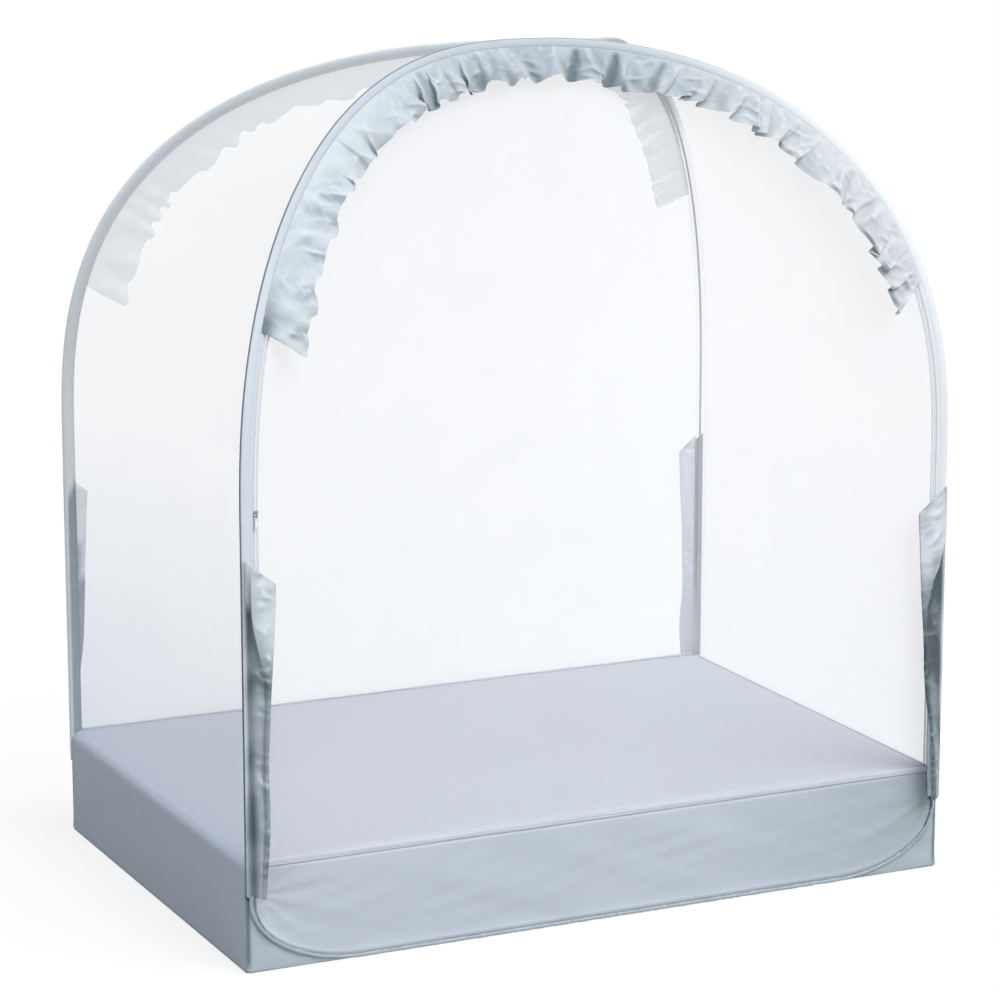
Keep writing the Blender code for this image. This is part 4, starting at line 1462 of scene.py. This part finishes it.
@dataclass
class Bedding:
    """The mattress and the cloth under it."""

    cloths: Cloths
    half_length: float = 0.7452
    half_depth: float = 0.4920
    foot: float = 0.0026
    top: float = 0.2132
    cuts: int = 48
    crowding: float = 0.45
    rounding: tuple[float, float, float] = (0.026, 0.004, 0.024)
    crown: float = 0.0045
    waist: float = 0.0035
    crease_depth: float = 0.0016
    crease_width: float = 0.012
    lip: float = 0.0014
    corner_ease: float = 0.010
    broad: Wave = (0.42, 0.0011)
    floor_half: tuple[float, float] = (0.7462, 0.4892)
    floor_level: float = 0.0011
    floor_cloth: float = 0.0018

    def mattress(self) -> None:
        """Make the mattress: rounded, crowned, with its sides drawn in between the corners."""
        deselect()
        bpy.ops.mesh.primitive_cube_add(size=2.0)
        piece = named("mattress_pad")
        with editing(piece):
            bpy.ops.mesh.subdivide(number_cuts=self.cuts)
        cube = corners_of(piece.data)
        half = np.array([self.half_length, self.half_depth, (self.top - self.foot) / 2])
        spread = np.sin(cube * math.pi / 2) * self.crowding + cube * (1 - self.crowding)
        box = np.where(np.abs(cube) > 0.9999, np.sign(cube), spread) * half
        curve = np.array(self.rounding)
        core = np.clip(box, curve - half, half - curve)
        off = (box - core) / curve
        x, y, z = (core + off / np.maximum(np.linalg.norm(off, axis=1)[:, None], 1e-9) * curve).T
        wide, long, tall = x / half[0], y / half[1], z / half[2]
        dome = np.clip((1 - wide ** 2) * (1 - long ** 4), 0, None)
        upper = eased(tall, 0.2, 0.8)
        broad = Ripple(5, *self.broad).over(x, y)
        fold = self.crease_depth * bell(y - 0.10 - 0.05 * np.sin(3 * x), 0, self.crease_width)
        fold = fold * eased(x, 0.35, -0.3)
        z = z + upper * (dome * (self.crown + broad) - fold + self.lip * (1 - wide ** 8)) + (self.top + self.foot) / 2
        draw = self.waist * (1 - tall ** 2)
        x = x - np.sign(wide) * draw * eased(np.abs(wide), 0.8, 0.2) * (1 - long ** 4)
        y = y - np.sign(long) * draw * eased(np.abs(long), 0.8, 0.2) * (1 - wide ** 4)
        corner = eased(np.abs(wide), 0.922, 0.03) * eased(-long, 0.93, 0.05)
        move_corners(piece.data, grid(x, y + self.corner_ease * corner * upper, z))
        self.map_cover(piece.data)
        take(piece)
        bpy.ops.object.shade_smooth()
        dress(piece, self.cloths.mattress)
        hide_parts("mattress")
        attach(piece, BODY)

    @staticmethod
    def map_cover(mesh: bpy.types.Mesh) -> None:
        """Lay the cover's map on in metres, from above on top and from the side on the walls."""
        cover = mesh.uv_layers.active
        for face in mesh.polygons:
            x, y, z = map(abs, face.normal)
            first, second = (0, 1) if z > 0.6 else (1, 2) if x > y else (0, 2)
            for loop in face.loop_indices:
                point = mesh.vertices[mesh.loops[loop].vertex_index].co
                cover.data[loop].uv = (point[first], point[second])
        cover.name = "UVMap"

    def floor(self) -> None:
        """Make the cloth under the mattress."""
        x, y = (np.linspace(-half, half, count) for half, count in zip(self.floor_half, (61, 41)))
        Sheet(
            "base_floor_cloth", grid(x, y[:, None], self.floor_level), self.cloths.skirt, "skirt_cloth",
            ("floor_cloth",), ("mattress_pad",), "laid", cloth=self.floor_cloth,
        ).make()

    def build(self) -> None:
        """Make mattress and floor."""
        self.mattress()
        self.floor()


@dataclass
class CornerFlap:
    """The strip sewn down a post and folded back on itself along a slanting edge."""

    cloths: Cloths
    end: End
    hand: Hand
    rows: int = 140
    samples: int = 40
    foot: float = 0.155
    top: float = 0.79
    slant: float = 0.045
    top_width: float = 0.059
    foot_width: float = 0.030
    lift: float = 0.0079
    flare: float = 0.025
    edge_rise: float = 0.010
    fold_radius: float = 0.0026
    crease: tuple[float, float] = (0.60, 0.87)
    near: float = 0.011
    far_gap: float = 0.009
    puff: float = 0.006
    # Painted shade down the flap about a share of its height, and the least painted lightness
    shading: float = 0.0
    shaded: tuple[float, float] = (0.62, 0.24)
    least_tone: float = 0.0
    long_fold: Wave = (0.055, 0.0011, 5.0)
    crushed: Wave = (0.020, 0.0085)
    wander: Wave = (0.20, 0.0011)
    mottle: Wave = (0.05, 0.11, 2.0)

    def width(self, share: np.ndarray | float) -> np.ndarray | float:
        """The folded flap's width at a share of its height."""
        return self.foot_width + (self.top_width - self.foot_width) * share

    def section(self, share: float) -> list[tuple[float, float, float]]:
        """One row: distances from the post's edge and from its face, and how light the cloth is painted.

        Args:
            share: The row's share of the flap's height.

        Returns:
            Points from the seam, round the free edge and back to the loose edge.
        """
        width = self.width(share)
        lift = self.lift + self.flare * float(eased(share, 0.46, -0.30))
        rise = self.edge_rise * float(eased(share, 0, 0.3))
        radius = self.fold_radius
        turn, far = width - radius, width - self.far_gap
        low, high = self.crease
        folded = float(eased(share, low, high - low))
        end = far + (self.near - far) * folded
        over = lift + rise + 2 * radius
        span = turn - end
        puff = self.puff * math.sin(math.pi * share) * min(1.0, span / 0.03)
        middle = 0.0125 + (turn - 0.0125) * 0.5
        # Painted lightness: under layer shaded, darkest at the post and lighter above the crease; folded layer lit
        above = [float(eased(share, 0.90 - 0.26 * step, 0.05)) for step in (0.2, 0.55, 1.0)]
        kept = 1 - self.shading * float(bell(share, *self.shaded))
        under = [0.14 * kept, (0.72 - 0.20 * share) * kept, 0.40 * kept]
        tones = [dim + (0.94 - dim) * lifted for dim, lifted in zip(under, above)]
        loose = 0.30 * kept
        lit = [loose + (light - loose) * folded for light in (0.70, 0.95, 1.0, 0.92)]
        return [
            (0.0012, 0.0014, 0.85),
            (0.0060, 0.0018, 0.55),
            (0.0115, lift * 0.50, tones[0]),
            (middle, lift + rise * 0.15, tones[1]),
            (turn, lift + rise, tones[2]),
            (width, lift + rise + radius, lit[0]),
            (turn, over, lit[1]),
            (turn - span * 0.5, over + puff - rise * 0.1, lit[2]),
            (end, over - rise * 0.45, lit[3]),
        ]

    def row(self, share: float) -> np.ndarray:
        """One smooth row of points through a section."""
        knots = np.array(self.section(share))
        padded = np.concatenate([[2 * knots[0] - knots[1]], knots, [2 * knots[-1] - knots[-2]]])
        place = np.linspace(0, len(knots) - 1 - 1e-6, self.samples)
        index = place.astype(int)
        part = (place - index)[:, None]
        a, b, c, d = (padded[index + k] for k in range(4))
        bent = (2 * a - 5 * b + 4 * c - d) * part ** 2 + (3 * b - a - 3 * c + d) * part ** 3
        return 0.5 * (2 * b + (c - a) * part + bent)

    def build(self) -> None:
        """Make the flap."""
        shares = np.linspace(0, 1, self.rows)
        flat = np.stack([self.row(float(share)) for share in shares])
        shares = shares[:, None]
        wide, deep = flat[..., 0], np.maximum(flat[..., 1], 0.0012)
        z = self.foot + shares * (self.top - self.slant * wide / self.top_width - self.foot)
        free = eased(wide, 0.010, 0.02)
        seed = 101 + 2 * self.end.value + 5 * self.hand.value
        long_fold = Ripple(seed, *self.long_fold).over(wide, z)
        crushed = Crumple(seed + 1, *self.crushed).over(wide * 0.8, z)
        calm = 1 - 0.8 * eased(wide / self.width(shares), 0.70, 0.22)
        deep = deep + free * calm * (long_fold + crushed)
        wide = wide + free * Ripple(seed + 2, *self.wander).over(0 * z, z)
        # Painted light and shade on the crumples, with random mottling
        tone = flat[..., 2] + Ripple(seed + 3, *self.mottle).over(wide, z) + free * crushed * 70
        word = f"{self.end.word}_{self.hand.word}"
        SoftSheet(
            f"{word}_post_flap",
            grid(self.hand.value * (SIZES.length / 2 - wide), self.end.value * (SIZES.depth / 2 + deep), z),
            self.cloths.flap[self.end], "sleeve_cloth", (f"{word}_flap",), (f"{self.end.word}_arch_sleeve",),
            "folded", self.least_tone + (1 - self.least_tone) * tone,
        ).make()


class Casting:
    """Small metal blocks about one point, which become one piece."""

    def __init__(self, origin: Vector) -> None:
        """Start with nothing."""
        self.origin = origin
        self.pieces: list[bpy.types.Object] = []

    def round_off(self, size: tuple[float, ...], edge: float, segments: int) -> bpy.types.Object:
        """Scale the primitive that was just added, and round its edges.

        Args:
            size: Its size along X, Y and Z.
            edge: Radius of its edges.
            segments: Steps of the rounding.

        Returns:
            The rounded block.
        """
        piece = bpy.context.object
        piece.scale = size
        bpy.ops.object.transform_apply(location=True, rotation=True, scale=True)
        modify(piece, "BEVEL", width=edge, segments=segments, limit_method="ANGLE")
        self.pieces.append(piece)
        return piece

    def block(self, size: tuple[float, ...], offset: tuple[float, ...], edge: float = 0.0002) -> bpy.types.Object:
        """Add a block.

        Args:
            size: Its length, depth and height.
            offset: Its middle, from the origin.
            edge: Radius of its edges.

        Returns:
            The block.
        """
        deselect()
        bpy.ops.mesh.primitive_cube_add(size=1.0, location=self.origin + Vector(offset))
        return self.round_off(size, edge, 3)

    def pin(self, radius: float, length: float, edge: float) -> None:
        """Add a round pin along X at the origin.

        Args:
            radius: Its radius.
            length: Its length.
            edge: Radius of its edges.
        """
        deselect()
        bpy.ops.mesh.primitive_cylinder_add(
            vertices=20, radius=radius, depth=length, location=self.origin, rotation=(0, math.pi / 2, 0),
        )
        self.round_off((1.0, 1.0, 1.0), edge, 2)

    def draw_in(self, piece: bpy.types.Object, width: Callable[[float], float]) -> None:
        """Scale a block's width by how far each point is below the origin.

        Args:
            piece: The block.
            width: The scale at each drop.
        """
        for vert in piece.data.vertices:
            vert.co.x = self.origin.x + (vert.co.x - self.origin.x) * width(self.origin.z - vert.co.z)
        piece.data.update()

    def joined(self, name: str, material: bpy.types.Material) -> bpy.types.Object:
        """Join the blocks into one dressed piece, smooth between its edges.

        Args:
            name: The piece's name.
            material: Its metal.

        Returns:
            The piece.
        """
        take(self.pieces[0])
        for other in self.pieces[1:]:
            other.select_set(True)
        bpy.ops.object.join()
        piece = named(name)
        bpy.ops.object.shade_smooth_by_angle(angle=math.radians(35))
        dress(piece, material)
        return piece


@dataclass
class Zip(HoopPart):
    """Two toothed tapes along the front arch, closed, with their slider and its two pulls."""

    tape_width: float = 0.0020
    tape_cloth: float = 0.0009
    coil_width: float = 0.0022
    coil_depth: float = 0.0025
    tooth_pitch: float = 0.0018
    tooth_thick: float = 0.0012
    end_room: float = 0.001
    plate_inside: float = 0.0018
    plate_outside: float = 0.0028
    flange: tuple[float, float] = (0.0008, 0.0010)
    bridge_width: float = 0.0020
    bridge_thick: float = 0.0008
    bridge_length: float = 0.0084
    bridge_level: float = 0.0054
    pin_level: float = 0.0039
    pin_radius: float = 0.0007
    half_reach: float = 0.0044
    half_length: float = 0.0065
    post_height: float = 0.0030
    post_level: float = 0.0041
    web: tuple[float, float] = (0.0008, 0.006)
    shoulder_draw: float = 0.28
    tab_width: float = 0.0070
    tab_thick: float = 0.0010
    tab_top: float = 0.0052
    tab_end: float = 0.0287
    waist_draw: float = 0.22
    arm_width: float = 0.0014
    arm_length: float = 0.0066
    arm_drop: float = 0.0031
    grip: tuple[float, float, float] = (0.0048, 0.00125, 0.0110)
    grip_drop: float = 0.0195
    rib: tuple[float, float, float] = (0.0040, 0.0015, 0.0008)
    rib_drops: tuple[float, ...] = (0.0160, 0.0182, 0.0204, 0.0226)

    @property
    def near(self) -> float:
        """Distance across from the centre line to the sleeve's inner edge."""
        return -SIZES.sleeve_width / 2 - SIZES.seam_gap

    @property
    def centre(self) -> Vector:
        """Middle of the slider."""
        x = -SIZES.half_arch - self.near + SIZES.zip_width / 2
        return Vector((x, -SIZES.hoop_plane, SIZES.slider_z))

    def tape(self, name: str, node: str, start: float, way: int) -> None:
        """Make one tape with its teeth.

        Args:
            name: The tape's name.
            node: The solid that it stands for.
            start: Distance across at which its sewn edge lies.
            way: 1 if the tape runs outwards from there, and -1 if inwards.
        """
        low, high = self.hoop.span(SIZES.net_foot)
        place = np.linspace(low, high, 420)
        across = start + way * np.linspace(0, self.tape_width + self.coil_width * 0.4, 5)[:, None]
        tape = grid_piece(name, self.hoop.at(place, across, 0.0))
        modify(tape, "SOLIDIFY", thickness=self.tape_cloth, offset=0.0)
        dress(tape, self.cloths.zip_tape)
        teeth = self.teeth(f"{name}_teeth", start + way * (self.tape_width + self.coil_width / 2), low, high)
        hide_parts(node)
        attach(tape, BODY)
        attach(teeth, BODY)

    def teeth(self, name: str, across: float, low: float, high: float) -> bpy.types.Object:
        """Make a row of teeth: one is modelled, repeated in line, and laid along the arch.

        Args:
            name: The row's name.
            across: Distance across of the row's middle.
            low: Place along the hoop at which it begins.
            high: Place at which it ends.

        Returns:
            The row of teeth.
        """
        deselect()
        bpy.ops.mesh.primitive_cylinder_add(
            vertices=6, radius=0.5, depth=self.coil_width, rotation=(math.pi / 2, 0, 0), end_fill_type="NGON",
        )
        piece = named(name)
        piece.scale = (self.tooth_thick, self.coil_depth, 1.0)
        bpy.ops.object.transform_apply(location=True, rotation=True, scale=True)
        modify(
            piece, "ARRAY", count=int((high - low - 2 * self.end_room) / self.tooth_pitch), use_relative_offset=False,
            use_constant_offset=True, constant_offset_displace=(self.tooth_pitch, 0, 0),
        )
        x, y, z = corners_of(piece.data).T
        move_corners(piece.data, self.hoop.at(low + self.end_room + x, across + y, z))
        with editing(piece):
            bpy.ops.mesh.normals_make_consistent(inside=False)
        dress(piece, self.cloths.coil)
        return piece

    def slider(self) -> None:
        """Make the slider: two plates on a web, with flanges and a bridge on each face."""
        cast = Casting(self.centre)
        cast.block((self.web[0], 2 * self.plate_inside + 0.0006, self.web[1]), (0, 0, 0), 0.0001)
        thick = self.plate_outside - self.plate_inside
        height = 2 * self.half_length
        for way in (-1, 1):
            middle = way * (self.plate_inside + thick / 2)
            plate = cast.block((2 * self.half_reach, thick, height), (0, middle, 0), 0.0003)
            cast.draw_in(plate, self.shoulder)
            for hand in (-1, 1):
                beside = (hand * (self.half_reach - self.flange[0] / 2), way * (self.plate_inside * 0.78), 0)
                cast.block((*self.flange, height - 0.0016), beside)
            cast.block((self.bridge_width, self.bridge_thick, self.bridge_length), (0, way * self.bridge_level, 0))
            for end in (-1, 1):
                post = (0, way * self.post_level, end * (self.bridge_length - self.bridge_thick) / 2)
                cast.block((self.bridge_width, self.post_height, self.bridge_thick), post)
        piece = cast.joined("zip_slider_body", self.cloths.plated)
        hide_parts("zip_slider")
        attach(piece, "slider")

    def shoulder(self, drop: float) -> float:
        """Width of a slider's plate, which narrows at its lower end, where the teeth meet."""
        return 1 - self.shoulder_draw * max(0.0, drop / self.half_length - 0.2) / 0.8

    def waist(self, drop: float) -> float:
        """Width of a tab, which widens to the finger end."""
        share = (drop / self.tab_end - 0.18) / 0.5
        return 1 - self.waist_draw * math.sin(min(1.0, max(0.0, share)) * math.pi)

    def pull(self, name: str, node: str, body: str, way: int) -> None:
        """Make a pull tab on its pin.

        Args:
            name: The tab's name.
            node: The solid that it stands for.
            body: The moving body that it rides on.
            way: -1 for the tab outside and 1 for the one inside.
        """
        cast = Casting(self.centre + Vector((0, way * self.pin_level, 0)))
        cast.pin(self.pin_radius, self.tab_width, 0.00015)
        beside = (self.tab_width - self.arm_width) / 2
        for hand in (-1, 1):
            cast.block((self.arm_width, self.tab_thick, self.arm_length), (hand * beside, 0, -self.arm_drop))
        length, middle = self.tab_end - self.tab_top, (self.tab_end + self.tab_top) / 2
        tab = cast.block((self.tab_width, self.tab_thick, length), (0, 0, -middle), 0.00035)
        cast.block(self.grip, (0, 0, -self.grip_drop))
        for drop in self.rib_drops:
            cast.block(self.rib, (0, 0, -drop))
        cast.draw_in(tab, self.waist)
        piece = cast.joined(name, self.cloths.bright)
        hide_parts(node)
        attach(piece, body)

    def build(self) -> None:
        """Make the whole zip."""
        self.tape("zip_tape_on_sleeve", "zip_half_on_sleeve", self.near, -1)
        self.tape("zip_tape_on_net", "zip_half_on_net", self.near - SIZES.zip_width, 1)
        self.slider()
        self.pull("outer_zip_pull", "outer_pull", "outer_tab", -1)
        self.pull("inner_zip_pull", "inner_pull", "inner_tab", 1)


@dataclass
class Studio:
    """Camera, floor, lamps and the pale surroundings."""

    yaw: float = 0.445
    pitch: float = -0.214
    place: tuple[float, float, float] = (-3.034, -6.376, 2.267)
    focal_pixels: float = 3577.0
    image: float = 1000.0
    sensor: float = 36.0
    ambient: float = 0.34
    key_strength: float = 2.75
    key_from: tuple[float, float, float] = (0.26, -0.52, 0.72)
    fill_strength: float = 0.78
    fill_from: tuple[float, float, float] = (-0.78, -0.42, 0.30)
    lamp_angle: float = 50.0
    floor_size: float = 160.0
    floor_level: float = -0.0004
    floor_bounce: float = 0.38
    floor_white: float = 0.80
    fill_tint: Colour = (0.74, 0.87, 1.0)
    sky_tint: Colour = (0.96, 0.98, 1.0)

    @staticmethod
    def stand(name: str, data: bpy.types.ID) -> bpy.types.Object:
        """Put a camera or lamp into the scene."""
        made = bpy.data.objects.new(name, data)
        bpy.context.scene.collection.objects.link(made)
        return made

    def camera(self) -> None:
        """Set the camera at the photograph's angle."""
        data = bpy.data.cameras.new("studio_camera")
        data.sensor_width = self.sensor
        data.lens = self.focal_pixels / self.image * self.sensor
        data.clip_end = 200.0
        camera = self.stand("studio_camera", data)
        camera.location = self.place
        camera.rotation_euler = (math.pi / 2 + self.pitch, 0.0, -self.yaw)
        bpy.context.scene.camera = camera

    def seen(self, graph: Graph) -> Pin:
        """1 for what the camera, a reflection or glass sees directly."""
        path = graph.node("ShaderNodeLightPath", {}, {}, "Is Camera Ray")
        outputs = path.socket.node.outputs
        glossy, through = (Pin(graph, outputs[f"Is {kind} Ray"]) for kind in ("Glossy", "Transmission"))
        return (path + glossy + through).clamped()

    def floor(self) -> None:
        """Lay a wide pale floor that keeps a soft shadow."""
        deselect()
        bpy.ops.mesh.primitive_plane_add(size=self.floor_size, location=(0, 0, self.floor_level))
        floor = named("studio_floor")
        graph = Graph.of_material("studio_floor")
        seen = self.seen(graph)
        pale = graph.blend(seen, (self.floor_bounce,) * 3, (0.97, 0.97, 0.97))
        lit = graph.node("ShaderNodeBsdfDiffuse", {}, {"Color": pale})
        glow = graph.node("ShaderNodeEmission", {}, {"Color": (*WHITE, 1.0), "Strength": 1.0})
        graph.mixed_surface(seen * self.floor_white, lit, glow)
        floor.data.materials.append(graph.material)
        floor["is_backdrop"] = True

    def lamp(self, name: str, towards: tuple[float, float, float], strength: float, tint: Colour) -> None:
        """Add a broad, far lamp.

        Args:
            name: The lamp's name.
            towards: Direction in which it stands.
            strength: How strong it is.
            tint: Its colour.
        """
        data = bpy.data.lights.new(name, "SUN")
        data.energy = strength
        data.angle = math.radians(self.lamp_angle)
        data.color = tint
        self.stand(name, data).rotation_euler = Vector(towards).to_track_quat("Z", "Y").to_euler()

    def surroundings(self) -> None:
        """Give even light from all round, and white where the camera looks past the floor."""
        world = bpy.data.worlds.new("studio")
        bpy.context.scene.world = world
        graph = Graph(world, "ShaderNodeOutputWorld")
        lights = (self.sky_tint, self.ambient), (WHITE, 1.0)
        soft, white = (
            graph.node("ShaderNodeBackground", {}, {"Color": (*colour, 1.0), "Strength": strength})
            for colour, strength in lights
        )
        graph.mixed_surface(self.seen(graph), soft, white)

    def build(self) -> None:
        """Set up the whole studio, with a soft key lamp above on the right and a weak cool one low on the left."""
        bpy.context.scene.view_settings.view_transform = "Standard"
        self.camera()
        self.floor()
        self.lamp("studio_key", self.key_from, self.key_strength, WHITE)
        self.lamp("studio_fill", self.fill_from, self.fill_strength, self.fill_tint)
        self.surroundings()


@dataclass
class Tent:
    """The whole tent."""

    cloths: Cloths
    front: Hoop = field(default_factory=lambda: Hoop(End.FRONT))
    back: Hoop = field(default_factory=lambda: Hoop(End.BACK))

    def carried_over(self) -> None:
        """Dress the hidden steel parts, which keep their solids."""
        for node in ("front_hoop_wire", "back_hoop_wire", "front_wire_ferrule", "back_wire_ferrule"):
            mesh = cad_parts[node].data
            mesh.materials.clear()
            mesh.materials.append(self.cloths.steel)

    def frills(self) -> None:
        """Build the crisp front frill and the softer, sheer back one."""
        Frill(
            self.front, self.cloths, seed=7,
            hollows=((0.355, 0.5), (0.453, 0.45), (0.553, 1.0), (0.595, 1.0), (0.645, 0.7), (0.72, 0.3)),
            curls=(0.80, 0.858, 0.892, 0.922, 0.957, 0.989),
        ).build()
        Frill(
            self.back, self.cloths, seed=19, crispness=0.55, start_z=(1.155, 1.265), left_fullness=0.20,
            top_depth=0.084, end_depth=0.096,
        ).build()

    def flaps(self) -> None:
        """Build the four flaps, each with its own width, top and shading."""
        # Each flap's width and top, and where and how deeply it is painted with shade
        shapes = {
            (End.FRONT, Hand.LEFT): {"foot_width": 0.026},
            (End.FRONT, Hand.RIGHT): {
                "top_width": 0.076, "foot_width": 0.039, "shading": 0.95, "shaded": (0.50, 0.38),
            },
            (End.BACK, Hand.LEFT): {"top": 0.76, "shading": 0.92, "shaded": (0.42, 0.5)},
            (End.BACK, Hand.RIGHT): {"top": 0.72, "top_width": 0.050, "least_tone": 0.85},
        }
        for (end, hand), shape in shapes.items():
            CornerFlap(self.cloths, end, hand, **shape).build()

    def build(self) -> None:
        """Build every sub-assembly in order."""
        Bedding(self.cloths).build()
        for hoop in (self.front, self.back):
            EndBase(hoop, self.cloths).build()
            ArchBand(hoop, self.cloths).build()
        self.frills()
        for hand in Hand:
            SideBase(self.cloths, hand).build()
            SideNet(self.front, self.back, self.cloths, hand).build()
        reach = SIZES.sleeve_width / 2 + SIZES.seam_gap
        EndNet(self.front, self.cloths, reach + SIZES.zip_width + SIZES.seam_gap).build()
        EndNet(self.back, self.cloths, reach).build()
        self.flaps()
        Zip(self.front, self.cloths).build()
        self.carried_over()


def main() -> None:
    """Build the tent and its studio, and report each piece."""
    logging.basicConfig(level=logging.INFO, format="%(message)s")
    Tent(Cloths()).build()
    Studio().build()
    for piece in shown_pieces():
        LOG.info("%s: %d faces", piece.name, len(piece.data.polygons))


if __name__ == "__main__":
    main()
